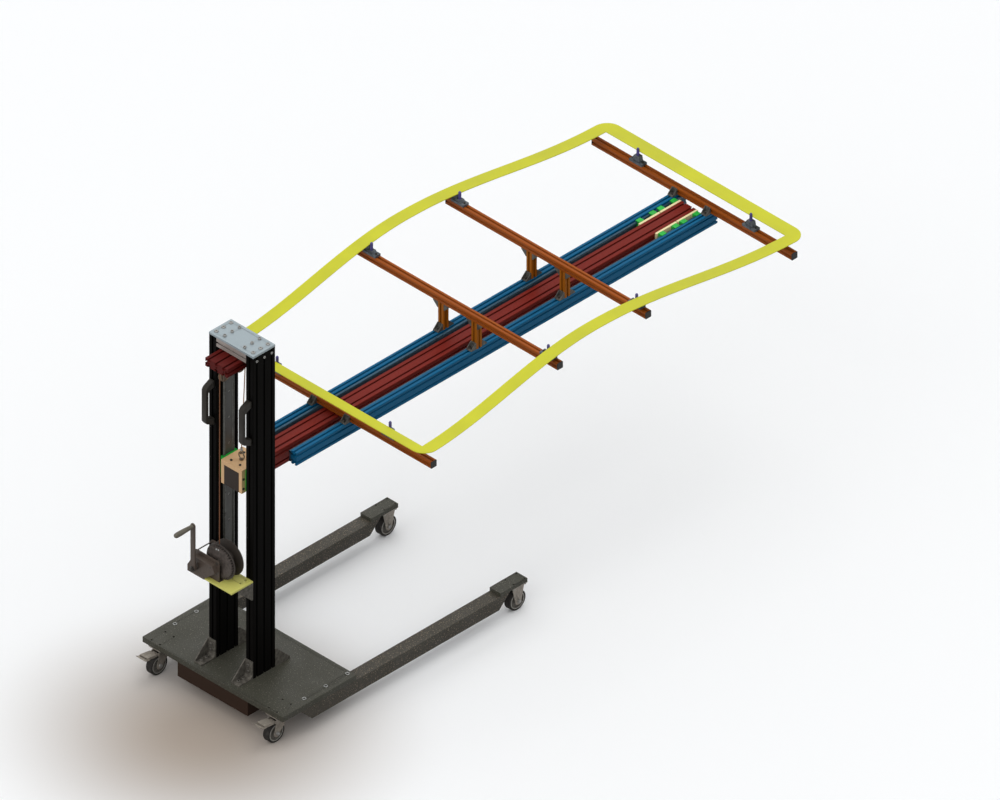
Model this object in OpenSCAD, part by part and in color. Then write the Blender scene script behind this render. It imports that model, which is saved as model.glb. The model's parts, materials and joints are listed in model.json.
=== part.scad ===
// Installation cart: a wheeled base with two front legs, a winch mast, a lift carriage with a long
// boom, and a panel frame that slides along the boom. All sizes are in millimetres.
// While building, X is the cart's right, Y runs forward from the base plate's rear edge and Z is the
// height above the floor. The finished part is moved so that its origin is on the floor, centred.

/* [Base] */
// Width of the base plate
base_w = 760; // [740:5:820]
// Length of the base plate from its rear edge
base_d = 400; // [390:5:460]
// Thickness of the base plate
base_t = 25; // [15:1:30]
// Width of the ballast block under the plate
ballast_w = 380; // [300:5:380]
// Length of the ballast block
ballast_d = 340; // [200:5:380]
// Height of the ballast block
ballast_h = 65; // [30:1:80]
// Side of the square leg tube
leg_s = 60; // [56:1:64]
// Wall of the leg tube
leg_wall = 4; // [2:0.5:6]
// Distance from the plate's rear edge to the legs' rear tip
leg_rear = 100; // [98:1:120]
// Length of a leg along its top
leg_len = 1133; // [900:5:1300]
// Length of a caster pad
pad_len = 146; // [130:1:180]
// Thickness of a caster pad
pad_t = 16; // [8:1:20]
// How far a caster pad reaches past its leg
pad_over = 93; // [88:1:100]

/* [Casters] */
// Radius of a wheel
wheel_r = 45; // [40:1:46]
// Width of a tyre
wheel_w = 30; // [24:1:30]
// Thickness of the tyre tread
tyre_t = 9; // [5:0.5:12]
// Height of the plates' undersides above the floor
caster_h = 122; // [120:1:130]
// Radius of a wheel axle
axle_r = 5; // [4:0.5:6]
// Thickness of a fork's side
fork_t = 3; // [2:0.5:4]
// Distance from a swivel axis back to its wheel axle
swivel_off = 33; // [28:1:36]
// Distance from the plate's side to a swivel axis
swivel_in_x = 63; // [60:1:70]
// Distance from the plate's rear edge to a swivel axis
swivel_in_y = 47; // [47:1:52]
// Spacing of the caster bolts across the cart
bolt_x = 45; // [40:1:46]
// Spacing of the rear caster bolts along the cart
rear_bolt_y = 75; // [70:1:78]
// Spacing of the front caster bolts along the cart
front_bolt_y = 60; // [55:1:62]
// Distance from the pad's front end back to the front axle
front_axle_in = 39; // [38:1:44]
// Thickness of a caster's mounting plate
caster_t = 4; // [3:0.5:6]
// Width of a brake pedal's tread
pedal_w = 50; // [42:1:50]
// Reach of a brake pedal behind the swivel axis
pedal_reach = 121; // [116:1:121]

/* [Slotted profiles] */
// Grid of the large profiles
cell = 40; // [38:1:42]
// Grid of the small profiles
small = 30; // [29:1:31]
// Opening of every slot
slot_open = 8.2; // [6:0.1:9]
// Thickness of the lips of a large slot
lip = 4.5; // [3:0.5:5]
// Inner width of a large slot
slot_wide = 20; // [14:0.5:21]
// Depth of a large slot
slot_deep = 12.25; // [10:0.25:12.5]
// Thickness of the lips of a small slot
small_lip = 2.2; // [1.5:0.1:3]
// Inner width of a small slot
small_wide = 16.5; // [12:0.5:16.5]
// Depth of a small slot
small_deep = 9.25; // [7:0.25:9.5]
// Radius of the core hole of a cell
core_r = 3.4; // [2:0.1:4]

/* [Mast] */
// Distance from the plate's rear edge to the posts' rear faces
post_y = 100; // [100:1:120]
// Clear width between the posts
post_gap = 160; // [158:1:166]
// Thickness of the top plate
top_t = 10; // [6:1:16]
// How far the pulley beam reaches behind the posts
pulley_back = 80; // [70:1:100]
// Length of the pulley beam
pulley_len = 240; // [220:5:260]
// Distance from the posts' tops down to the upper handle foot
handle_down = 218; // [120:1:300]
// Distance between the two feet of a handle
handle_span = 175; // [150:1:200]
// How far a handle stands off its post
handle_out = 48; // [42:1:60]
// Width of a handle
handle_w = 26; // [18:1:34]
// Thickness of a handle's grip bar
handle_bar = 15; // [12:1:18]
// Length of a large corner gusset's leg
gusset_leg = 80; // [70:1:80]

/* [Guide rails] */
// Thickness of a rail's web
rail_web = 9; // [7:0.5:11]
// Radius of a rail's rods
rod_r = 6; // [5:0.25:6.5]
// Distance from the mounting face to a rod's axis
rod_in = 7; // [6.75:0.25:8]
// Half the distance between the mast rail's rods
mast_rod = 23; // [20:1:26]
// Half the distance between the beam rail's rods
beam_rod = 19; // [17:0.5:19.5]
// Length of a mast rail
mast_rail_len = 960; // [860:10:1080]
// Height of the mast rails' lower ends above the base plate
rail_foot = 444; // [420:2:470]
// Spacing of the mounting holes in a rail
rail_pitch = 120; // [100:10:160]

/* [Winch] */
// Height of the winch shelf's top above the base plate
shelf_h = 459; // [420:1:500]
// Thickness of the winch shelf
shelf_t = 8; // [5:1:12]
// Depth of the winch shelf
shelf_d = 117; // [110:1:117]
// Height of the drum axis above the shelf
drum_h = 81; // [81:0.5:90]
// Offset of the drum axis to the right
drum_x = 22; // [14:1:26]
// Radius of the drum flanges
flange_r = 76.5; // [60:0.5:76.5]
// Radius of the drum with its inner layers of cable
drum_r = 26.45; // [22:0.05:28]
// Width between the drum flanges
drum_w = 43; // [40:1:44]
// Thickness of a drum flange
flange_t = 3; // [2:0.5:4]
// Gear module
gear_m = 3.54; // [3.5:0.01:3.54]
// Teeth on the drum gear
gear_teeth = 38; // [37:1:38]
// Teeth on the pinion
pinion_teeth = 14; // [13:1:14]
// Width of the drum gear
gear_w = 7; // [5:0.5:7]
// Direction from the drum axis to the pinion, in degrees
pinion_dir = 205.7; // [200:0.1:208]
// Radius of the drum shaft
drum_shaft_r = 8; // [6:0.5:10]
// Radius of the pinion shaft
crank_shaft_r = 7; // [6:0.5:8]
// Thickness of the winch frame's sides
winch_t = 4; // [3:0.5:5]
// Depth of the winch frame
winch_d = 91; // [90:1:92]
// Depth of the gear cover
cover_d = 22; // [20:1:24]
// Length of the crank arm between its axes
crank_len = 200; // [160:5:240]
// Width of the crank arm
crank_w = 24; // [18:1:30]
// Thickness of the crank arm
crank_t = 6; // [4:0.5:8]
// Largest radius of the crank grip
grip_r = 11; // [9:0.5:14]
// Length of the crank grip
grip_len = 96.7; // [80:0.1:110]

/* [Cable and sheaves] */
// Radius of the cable
cable_r = 2.25; // [1.5:0.25:2.5]
// Radius of a sheave at the bottom of its groove
groove_r = 25; // [20:0.5:26]
// Outer radius of a sheave
sheave_r = 30.5; // [29:0.5:30.5]
// Width of a sheave
sheave_w = 12; // [10:0.5:14]
// Distance of the sheave axes below the pulley beam
sheave_drop = 32; // [32:1:40]
// Distance from the posts' rear faces back to the rear sheave's axis
rear_sheave_in = 34; // [30:1:40]
// Distance from the posts' rear faces forward to the front sheave's axis
front_sheave_in = 50; // [44:1:54]
// Turns of cable that show on the drum
winding_turns = 2.25; // [1.25:0.5:2.25]

/* [Lift carriage and boom] */
// Height of the boom's centre line above the floor
boom_z = 1031; // [1010:1:1060]
// Length of the boom
boom_len = 2474; // [2300:2:2700]
// Length of the carriage box along the boom
carriage_d = 120; // [100:1:130]
// Gap between the posts' rear faces and the carriage box
carriage_in = 2; // [2:0.5:4]
// Thickness of the carriage's side plates
side_t = 16; // [12:1:17]
// Thickness of the carriage's top plate
lid_t = 18; // [12:1:22]
// Thickness of the carriage's floor plate
floor_t = 10; // [6:1:14]
// Thickness of the carriage's rear panel
panel_t = 4; // [3:0.5:6]
// Height of a mast bearing block
block_h = 100; // [80:1:108]
// Major radius of the lifting eye
eye_r = 14.5; // [13:0.5:16]
// Thickness of a slide plate
slide_plate_t = 10; // [8:0.5:12]
// Length of a slide plate
slide_plate_len = 110; // [100:1:120]
// Length of a slide bearing
slide_len = 25; // [20:1:30]

/* [Sliding frame] */
// Distance of a beam's centre line from the middle
beam_x = 90; // [90:1:94]
// Length of the beams
beam_len = 2280; // [2270:2:2320]
// Distance from the posts' rear faces to the beams' rear ends
beam_rear = 250; // [240:1:270]
// Distance of the first bar from the beams' rear ends
bar_a = 306; // [290:1:320]
// Distance of the second bar from the beams' rear ends
bar_b = 990; // [900:1:1100]
// Distance of the third bar from the beams' rear ends
bar_c = 1468; // [1400:1:1600]
// Distance of the last bar from the beams' rear ends
bar_d = 2260; // [2240:1:2265]
// Length of a bar with its caps
bar_len = 1086; // [1000:2:1200]
// Thickness of a bar's end cap
cap_t = 3; // [2:0.5:5]
// Height of the posts under the middle bars
riser_h = 120; // [100:1:125]
// Leg length of a small gusset
small_leg = 28; // [22:1:28]
// Distance of the outer pins from a bar's end
pin_end = 64; // [64:1:100]
// Distance of the inner pins from the middle
pin_in = 306; // [200:1:340]
// Radius of a locating pin
pin_r = 6; // [4:0.5:6]
// Length of a stop block
stop_len = 68; // [60:1:80]
// Length of a locating pin above its stop block
pin_show = 33; // [26:1:36]

/* [Panel frame] */
// Distance from the rear bar's centre line to the panel frame's rear edge
ring_back = 51; // [40:1:60]
// Distance from the front bar's centre line to the panel frame's front edge
ring_ahead = 72; // [60:1:80]
// Width of the panel frame's side strips
ring_side = 57.5; // [50:0.5:57.5]
// Thickness of the panel frame
ring_t = 3; // [2:0.5:5]
// Radius of the panel frame's outer corners
ring_corner = 65; // [40:1:70]
// Height of the panel frame's rear edge above the beams
arch_rear = 74; // [70:1:90]
// Height of the panel frame's peak above the beams
arch_top = 208; // [200:1:230]
// Height of the panel frame's front edge above the beams
arch_front = 79; // [70:1:95]
// Distance from the panel frame's rear edge to its peak
arch_peak = 935; // [850:5:1000]

/* [Hidden] */

$fn = 48;

// Clearances: a turning fit, a small gap between bodies, and a bolt in its hole
run_gap = 0.05;
free_gap = 0.3;
bolt_gap = 0.2;
// A cut runs this far past the faces that it opens
over = 1;
// Bolt and screw sizes
bolt_r = 4;
button_r = 8.75;
button_h = 5;
socket_r = 6.5;
socket_h = 8;
low_r = 8;
low_h = 2.5;
caster_head_h = 5;
bolt_short = 3;
// Edge chamfer of the slotted profiles
edge = 1.5;

// Heights of the base
base_top = caster_h + base_t;
leg_x = base_w / 2 - leg_s / 2;
leg_front = leg_rear + leg_len;
pad_front = leg_front + pad_over;
leg_screw_y = [base_d - 254, base_d - 137, base_d - 20];

// Casters
swivel_x = base_w / 2 - swivel_in_x;
front_axle_y = pad_front - front_axle_in;
fork_in = wheel_w / 2 + 2;
fork_out = fork_in + fork_t;
hub_half = fork_in - free_gap;
caster_w = bolt_x + 15;
rear_plate_y = rear_bolt_y + 19;
front_plate_y = front_bolt_y + 18;
race_r = 24;
race_h = 6.7;
crown_r = 27;
crown_t = 6;
king_r = 6;
king_head_r = 10;
king_head_h = 4;
fork_nose = 20;
fork_tip_r = 17;
fork_nose_z = 75;
crown_top = caster_h - caster_t - race_h - free_gap;
crown_bottom = crown_top - crown_t;
pedal_pivot = [-swivel_off - 5, crown_bottom - 8];
pedal_pin_r = 3;
pedal_t = 3;

// Mast, with the room between the rails' upper ends and the top beam
rail_head = 56;
post_d = 3 * cell;
post_x = post_gap / 2 + cell / 2;
post_mid = post_y + post_d / 2;
post_front = post_y + post_d;
post_len = rail_foot + mast_rail_len + rail_head + cell;
mast_top = base_top + post_len;
beam_bottom = mast_top - cell;
pulley_bottom = beam_bottom - cell;
mast_w = post_gap + 2 * cell;
handle_foot = 30;
plate_screw_x = 54;
rail_hole_r = 3.3;
rail_sink_r = 5.5;
rail_sink = 5;
gusset_wall = 5;
gusset_flange = 6;
gusset_tip = 8;
gusset_fillet = 10;
gusset_bolts = [gusset_leg - 46, gusset_leg - 20];

// Winch, seen from behind: X to the right and Z up
shelf_top = base_top + shelf_h;
drum_z = shelf_top + drum_h;
winch_back = post_y - 8 - winch_d;
shelf_hole_x = 96;
shelf_hole_r = 3;
shelf_hole_in = 16;
shelf_hole_pitch = 30;
winch_left = -95;
winch_right = 35;
winch_floor = 3;
cover_t = 2;
cover_foot = winch_left + 70;
winch_top = shelf_top + 95;
gear_back = winch_back + winch_t + 10;
gear_front = gear_back + gear_w;
drum_back = gear_front + flange_t;
drum_front = drum_back + drum_w;
winch_front = winch_back + winch_d;
mesh_r = gear_m * (gear_teeth + pinion_teeth) / 2;
pinion_x = drum_x + mesh_r * cos(pinion_dir);
pinion_z = drum_z + mesh_r * sin(pinion_dir);
crank_back = winch_back - cover_d - 27;
crank_front = crank_back + crank_t;
grip_front = crank_back - free_gap;
grip_back = grip_front - grip_len;
gear_hub_r = drum_shaft_r + 8;
spindle_r = 5;
spindle_end = grip_back + 6;

// Gear teeth: pressure angle, addendum and dedendum as shares of the module, and backlash
pressure = 25;
addendum = 0.8;
dedendum = 1.05;
backlash = 0.4;
flank_steps = 4;

// Cable
wrap_r = drum_r + free_gap + cable_r;
cable_y = drum_back + 19;
winding_pitch = 2 * cable_r + 0.45;
winding_start = drum_back + cable_r + free_gap;
sheave_z = pulley_bottom - sheave_drop;
rear_sheave_y = post_y - rear_sheave_in;
front_sheave_y = post_y + front_sheave_in;
groove_line = groove_r + cable_r;
bracket_t = 3;
wrap_sweep = 310;

// Carriage and boom
boom_top = boom_z + cell;
boom_bottom = boom_z - cell;
carriage_rear = post_y + carriage_in;
carriage_half = cell + side_t;
carriage_top = boom_top + lid_t;
carriage_floor = boom_bottom - floor_t;
boom_rear = carriage_rear + panel_t;
boom_front = boom_rear + boom_len;
block_face = 2.5;
block_up = 4;
boom_bore = 24;
eye_wire = 2.75;
eye_foot_r = 9;
eye_foot_h = 3;
eye_y = post_mid - 3;
eye_z = carriage_top + eye_r + eye_wire + 0.75;
loop_r = 7;
loop_z = eye_z + eye_r + loop_r - cable_r - eye_wire - free_gap;
ferrule_r = 4;
ferrule_len = 16;
ferrule_top = loop_z + loop_r - 1 + ferrule_len;

// Where the hanging cable leaves the front sheave
drop_y = eye_y - front_sheave_y;
drop_z = ferrule_top + free_gap - sheave_z;
drop_dir = atan2(drop_z, drop_y) + acos(groove_line / norm([drop_y, drop_z]));
drop_start = [0, front_sheave_y + groove_line * cos(drop_dir), sheave_z + groove_line * sin(drop_dir)];

// Sliding frame
deck_gap = 2;
beam_top = boom_top + deck_gap;
beam_z = beam_top - small;
beam_y = post_y + beam_rear;
beam_end = beam_y + beam_len;
bar_y = [for (d = [bar_a, bar_b, bar_c, bar_d]) beam_y + d];
bar_base = [beam_top, beam_top + riser_h, beam_top + riser_h, beam_top];
slide_half = beam_rod + rod_r + 4;
slide_split = 4;
slide_in = 7;
pin_out = bar_len / 2 - pin_end;
pin_top_low = 52;
pin_top_high = 67;
small_wall = 3;
small_tip = 4;

// Panel frame
ring_rear = bar_y[0] - ring_back;
ring_front = bar_y[3] + ring_ahead;
ring_rear_w = ring_back - pin_r - free_gap;
ring_front_w = ring_ahead - pin_r - free_gap;
ring_peak = ring_rear + arch_peak;
arch_steps = 20;

// The origin lies halfway between the grip's end and the panel frame's front edge
mid_y = (grip_back + ring_front) / 2;

module placed() {
    translate([0, -mid_y, 0]) children();
}

module both_sides() {
    children();
    mirror([1, 0, 0]) children();
}

// A flat shape in Y and Z, drawn out along X
module along_x(x0, x1) {
    translate([x0, 0, 0]) rotate([90, 0, 90]) linear_extrude(x1 - x0) children();
}

// A flat shape in X and Z, drawn out along Y
module along_y(y0, y1) {
    translate([0, y1, 0]) rotate([90, 0, 0]) linear_extrude(y1 - y0) children();
}

module along_z(z0, z1) {
    translate([0, 0, z0]) linear_extrude(z1 - z0) children();
}

module rod_x(r, x0, x1, y, z) {
    translate([x0, y, z]) rotate([0, 90, 0]) cylinder(r = r, h = x1 - x0);
}

module rod_y(r, y0, y1, x, z) {
    translate([x, y1, z]) rotate([90, 0, 0]) cylinder(r = r, h = y1 - y0);
}

module rod_z(r, z0, z1, x, y) {
    translate([x, y, z0]) cylinder(r = r, h = z1 - z0);
}

// A box from its lowest to its highest corner
module block(low, high) {
    translate(low) cube(high - low);
}

// A round bar between two points
module strut(p, q, r) {
    d = q - p;
    translate(p) rotate([0, acos(d[2] / norm(d)), atan2(d[1], d[0])]) cylinder(r = r, h = norm(d));
}

// A rectangle with cut corners, about its own middle
module cut_corners(w, h, c) {
    polygon([
        [-w / 2 + c, -h / 2], [w / 2 - c, -h / 2], [w / 2, -h / 2 + c], [w / 2, h / 2 - c],
        [w / 2 - c, h / 2], [-w / 2 + c, h / 2], [-w / 2, h / 2 - c], [-w / 2, -h / 2 + c]
    ]);
}

// One undercut slot that opens upwards at the top edge of a profile
module slot_shape(mouth, wide, deep) {
    step = 2;
    foot = wide * 0.45;
    polygon([
        [-slot_open / 2, over], [-slot_open / 2, -mouth], [-wide / 2, -mouth],
        [-wide / 2, -mouth - step], [-foot / 2, -deep], [foot / 2, -deep],
        [wide / 2, -mouth - step], [wide / 2, -mouth], [slot_open / 2, -mouth], [slot_open / 2, over]
    ]);
}

// Cross-section of a slotted profile of nx by ny cells
module slotted(nx, ny, size, mouth, wide, deep) {
    w = nx * size;
    h = ny * size;
    difference() {
        cut_corners(w, h, edge);
        for (i = [0 : nx - 1], turn = [0, 180])
            rotate(turn) translate([(i - (nx - 1) / 2) * size, h / 2]) slot_shape(mouth, wide, deep);
        for (j = [0 : ny - 1], turn = [90, 270])
            rotate(turn) translate([(j - (ny - 1) / 2) * size, w / 2]) slot_shape(mouth, wide, deep);
        for (i = [0 : nx - 1], j = [0 : ny - 1])
            translate([(i - (nx - 1) / 2) * size, (j - (ny - 1) / 2) * size]) circle(core_r);
    }
}

module large_profile(nx, ny) {
    slotted(nx, ny, cell, lip, slot_wide, slot_deep);
}

module small_profile(nx, ny) {
    slotted(nx, ny, small, small_lip, small_wide, small_deep);
}

// Cross-section of a double-rod rail that stands on the line x = 0
module rail_shape(rod) {
    translate([0, -rod]) square([rail_web, 2 * rod]);
    for (s = [-1, 1]) translate([rod_in, s * rod]) circle(rod_r);
}

// The room that a bearing block leaves around such a rail
module rail_room(rod) {
    translate([-over, -rod - free_gap]) square([rail_web + free_gap + over, 2 * (rod + free_gap)]);
    for (s = [-1, 1]) translate([rod_in, s * rod]) circle(rod_r + free_gap);
}

// Cross-section of a bearing block that grips such a rail, reaching out to depth
module bearing_shape(rod, half, depth) {
    difference() {
        translate([block_face, -half]) square([depth - block_face, 2 * half]);
        rail_room(rod);
    }
}

// An open corner gusset in the corner of the planes x = 0 and z = 0, centred on y = 0
module open_gusset(leg, w, wall, flange, tip) {
    difference() {
        along_y(-w / 2, w / 2) polygon([[0, 0], [leg, 0], [leg, tip], [tip, leg], [0, leg]]);
        block([flange, -w / 2 + wall, flange], [leg + over, w / 2 - wall, leg + over]);
    }
}

// The same with one cheek, on the side of -y, and a fillet between its two flanges
module large_gusset() {
    far = gusset_leg + over;
    round = gusset_flange + gusset_fillet;
    difference() {
        along_y(-cell / 2, cell / 2) polygon([
            [0, 0], [gusset_leg, 0], [gusset_leg, gusset_tip], [gusset_tip, gusset_leg], [0, gusset_leg]
        ]);
        along_y(-cell / 2 + gusset_wall, cell / 2 + over) polygon([
            [round, gusset_flange], [far, gusset_flange], [far, far], [gusset_flange, far],
            [gusset_flange, round]
        ]);
        for (d = gusset_bolts) {
            rod_z(bolt_r + bolt_gap, -over, gusset_flange + over, d, 0);
            rod_x(bolt_r + bolt_gap, -over, gusset_flange + over, 0, d);
        }
    }
}

module small_gusset() {
    open_gusset(small_leg, small_leg, small_wall, small_wall, small_tip);
}

// Four bolt places on a rectangle
module at_corners(x, y, dx, dy) {
    for (sx = [-1, 1], sy = [-1, 1]) translate([x + sx * dx / 2, y + sy * dy / 2, 0]) children();
}

// A screw whose head stands on z = 0 and whose shank points down
module screw(head_r, head_h, shank) {
    difference() {
        union() {
            cylinder(r = head_r, h = head_h);
            translate([0, 0, -shank]) cylinder(r = bolt_r, h = shank + head_h / 2);
        }
        translate([0, 0, head_h / 2]) cylinder(r = head_r * 0.45, h = head_h, $fn = 6);
    }
}

// Base
module base_plate() color([0.24, 0.24, 0.21]) placed() difference() {
    block([-base_w / 2, 0, caster_h], [base_w / 2, base_d, base_top]);
    both_sides() {
        for (y = leg_screw_y) rod_z(bolt_r + bolt_gap, caster_h - over, base_top + over, leg_x, y);
        at_corners(swivel_x, swivel_in_y, bolt_x, rear_bolt_y)
            rod_z(bolt_r + bolt_gap, caster_h - over, base_top + over, 0, 0);
    }
}

module ballast_block() color([0.13, 0.10, 0.08]) placed()
    block([-ballast_w / 2, 0, caster_h - ballast_h], [ballast_w / 2, ballast_d, caster_h]);

// A leg is a mitred tube, open at its rear end and closed at its front end
module leg() {
    low = caster_h - leg_s;
    slant = leg_wall * sqrt(2);
    difference() {
        along_x(leg_x - leg_s / 2, leg_x + leg_s / 2)
            polygon([
                [leg_rear, caster_h], [leg_front, caster_h],
                [leg_front - leg_s, low], [leg_rear + leg_s, low]
            ]);
        along_x(leg_x - leg_s / 2 + leg_wall, leg_x + leg_s / 2 - leg_wall)
            polygon([
                [leg_rear - leg_s, caster_h - leg_wall],
                [leg_front - leg_wall - slant, caster_h - leg_wall],
                [leg_front - leg_s + leg_wall - slant, low + leg_wall],
                [leg_rear - leg_s, low + leg_wall]
            ]);
        for (y = leg_screw_y)
            rod_z(bolt_r + bolt_gap, caster_h - leg_wall - over, caster_h + over, leg_x, y);
    }
}

module legs() color([0.21, 0.20, 0.18]) placed() both_sides() leg();

module front_pads() color([0.24, 0.24, 0.21]) placed() both_sides() difference() {
    pad_top = caster_h + pad_t;
    block([leg_x - leg_s / 2, pad_front - pad_len, caster_h], [leg_x + leg_s / 2, pad_front, pad_top]);
    at_corners(leg_x, front_axle_y, bolt_x, front_bolt_y)
        rod_z(bolt_r + bolt_gap, caster_h - over, pad_top + over, 0, 0);
}

// Casters, drawn about their own axis and then placed
module swivel_at(side) {
    translate([side * swivel_x, swivel_in_y, 0]) children();
}

module front_at(side) {
    translate([side * leg_x, front_axle_y, 0]) children();
}

module mounting_plate(len, pitch) {
    difference() {
        block([-caster_w / 2, -len / 2, caster_h - caster_t], [caster_w / 2, len / 2, caster_h]);
        at_corners(0, 0, bolt_x, pitch) rod_z(bolt_r + bolt_gap, 0, caster_h + over, 0, 0);
    }
}

module caster_plates() color([0.45, 0.44, 0.41]) placed() for (side = [-1, 1]) swivel_at(side) {
    mounting_plate(rear_plate_y, rear_bolt_y);
    rod_z(race_r, crown_top + free_gap, caster_h - caster_t, 0, 0);
    rod_z(king_r, crown_bottom - free_gap, caster_h - caster_t, 0, 0);
    rod_z(king_head_r, crown_bottom - free_gap - king_head_h, crown_bottom - free_gap, 0, 0);
}

module axle(y) {
    head_t = 5;
    head_r = axle_r + 3;
    rod_x(axle_r, -fork_out, fork_out, y, wheel_r);
    rod_x(head_r, fork_out, fork_out + head_t, y, wheel_r);
    rod_x(head_r, -fork_out - head_t, -fork_out, y, wheel_r);
}

// A hub, a web and a band, with the web half as wide as the tyre
module rim(y) {
    band_r = wheel_r - tyre_t;
    band_t = 4;
    hub_r = axle_r + 6;
    web = wheel_w / 4;
    translate([0, y, wheel_r]) rotate([0, 90, 0]) rotate_extrude() polygon([
        [axle_r + run_gap, -hub_half], [hub_r, -hub_half], [hub_r, -web],
        [band_r - band_t - 1, -web], [band_r - band_t, -wheel_w / 2], [band_r, -wheel_w / 2],
        [band_r, wheel_w / 2], [band_r - band_t, wheel_w / 2], [band_r - band_t - 1, web],
        [hub_r, web], [hub_r, hub_half], [axle_r + run_gap, hub_half]
    ]);
}

module tyre(y) {
    round = 4;
    translate([0, y, wheel_r]) rotate([0, 90, 0]) rotate_extrude($fn = 72) polygon([
        [wheel_r - tyre_t, -wheel_w / 2], [wheel_r - round, -wheel_w / 2],
        [wheel_r - round / 4, -wheel_w / 2 + round], [wheel_r, -wheel_w / 2 + 2 * round],
        [wheel_r, wheel_w / 2 - 2 * round], [wheel_r - round / 4, wheel_w / 2 - round],
        [wheel_r - round, wheel_w / 2], [wheel_r - tyre_t, wheel_w / 2]
    ]);
}

module rear_fork() {
    ear = pedal_pin_r + 4;
    difference() {
        union() {
            rod_z(crown_r, crown_bottom, crown_top, 0, 0);
            block([-fork_out, pedal_pivot[0] + 18, crown_bottom], [fork_out, fork_nose, crown_top]);
            for (s = [-1, 1]) along_x(s > 0 ? fork_in : -fork_out, s > 0 ? fork_out : -fork_in) {
                polygon([
                    [fork_nose, crown_top], [pedal_pivot[0] + 10, crown_top],
                    [pedal_pivot[0] - ear, pedal_pivot[1]], [pedal_pivot[0], pedal_pivot[1] - ear],
                    [-swivel_off - fork_tip_r, wheel_r], [-swivel_off + fork_tip_r, wheel_r],
                    [fork_nose / 2, fork_nose_z]
                ]);
                translate([-swivel_off, wheel_r]) circle(fork_tip_r);
                translate(pedal_pivot) circle(ear);
            }
        }
        rod_z(king_r + run_gap, crown_bottom - 2 * over, crown_top + over, 0, 0);
        rod_x(axle_r, -fork_out - over, fork_out + over, -swivel_off, wheel_r);
        rod_x(pedal_pin_r + run_gap, -fork_out - over, fork_out + over, pedal_pivot[0], pedal_pivot[1]);
    }
}

// A hood between two cheeks that turn inside the fork, the shoe under it and the tread behind it
module brake_pedal() {
    ear_t = 3.2;
    tail = -pedal_reach;
    hood_front = pedal_pivot[0] - 12;
    hood_rear = tail + 17;
    low = pedal_pivot[1] + 2;
    front_z = low + 3;
    rear_z = low + 11;
    tread_z = low + 4;
    rod_x(pedal_pin_r, -fork_out - 2, fork_out + 2, pedal_pivot[0], pedal_pivot[1]);
    for (s = [-1, 1]) {
        along_x(s > 0 ? fork_in - free_gap - ear_t : -fork_in + free_gap,
                s > 0 ? fork_in - free_gap : -fork_in + free_gap + ear_t) {
            translate(pedal_pivot) circle(pedal_pin_r + 3);
            polygon([
                [pedal_pivot[0], pedal_pivot[1] + 6], [pedal_pivot[0], pedal_pivot[1] - 5],
                [hood_front - 6, low], [hood_front - 6, front_z + 2]
            ]);
        }
        along_x(s > 0 ? fork_in : -fork_out, s > 0 ? fork_out : -fork_in) polygon([
            [hood_front + 1, low - 4], [hood_front + 1, front_z + 1], [hood_rear, rear_z + 1],
            [hood_rear, low + 1]
        ]);
    }
    along_x(-fork_out, fork_out) polygon([
        [hood_front, front_z], [hood_front, front_z + pedal_t], [hood_rear, rear_z + pedal_t],
        [hood_rear, rear_z]
    ]);
    along_x(-pedal_w / 2, pedal_w / 2) polygon([
        [tail + 27, tread_z], [tail + 27, tread_z + pedal_t], [tail + 13, tread_z + pedal_t],
        [tail, tread_z + pedal_t + 7], [tail, tread_z + 7], [tail + 13, tread_z]
    ]);
    along_x(-10, 10) polygon([
        [hood_front - 1, front_z + 1], [hood_front - 14, front_z + 2], [hood_front - 14, low - 7],
        [hood_front - 1, low - 8]
    ]);
}

module rear_fork_left() color([0.43, 0.42, 0.39]) placed() swivel_at(-1) rear_fork();
module rear_fork_right() color([0.43, 0.42, 0.39]) placed() swivel_at(1) rear_fork();
module rear_axle_left() color([0.6, 0.6, 0.58]) placed() swivel_at(-1) axle(-swivel_off);
module rear_axle_right() color([0.6, 0.6, 0.58]) placed() swivel_at(1) axle(-swivel_off);
module rear_rim_left() color([0.5, 0.48, 0.45]) placed() swivel_at(-1) rim(-swivel_off);
module rear_rim_right() color([0.5, 0.48, 0.45]) placed() swivel_at(1) rim(-swivel_off);
module rear_tyre_left() color([0.12, 0.11, 0.1]) placed() swivel_at(-1) tyre(-swivel_off);
module rear_tyre_right() color([0.12, 0.11, 0.1]) placed() swivel_at(1) tyre(-swivel_off);
module brake_pedal_left() color([0.5, 0.49, 0.44]) placed() swivel_at(-1) brake_pedal();
module brake_pedal_right() color([0.5, 0.49, 0.44]) placed() swivel_at(1) brake_pedal();

// A fork's side is narrow between the bolt heads and wide below them
module front_fork() {
    neck = front_bolt_y / 2 - socket_r - free_gap;
    wide = front_bolt_y / 2 + 2;
    top = caster_h - caster_t;
    step = top - caster_head_h - free_gap;
    mounting_plate(front_plate_y, front_bolt_y);
    difference() {
        for (s = [-1, 1]) along_x(s > 0 ? fork_in : -fork_out, s > 0 ? fork_out : -fork_in) {
            polygon([
                [-neck, top], [neck, top], [neck, step], [wide, step], [fork_tip_r, wheel_r],
                [-fork_tip_r, wheel_r], [-wide, step], [-neck, step]
            ]);
            translate([0, wheel_r]) circle(fork_tip_r);
        }
        rod_x(axle_r, -fork_out - over, fork_out + over, 0, wheel_r);
    }
}

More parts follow.
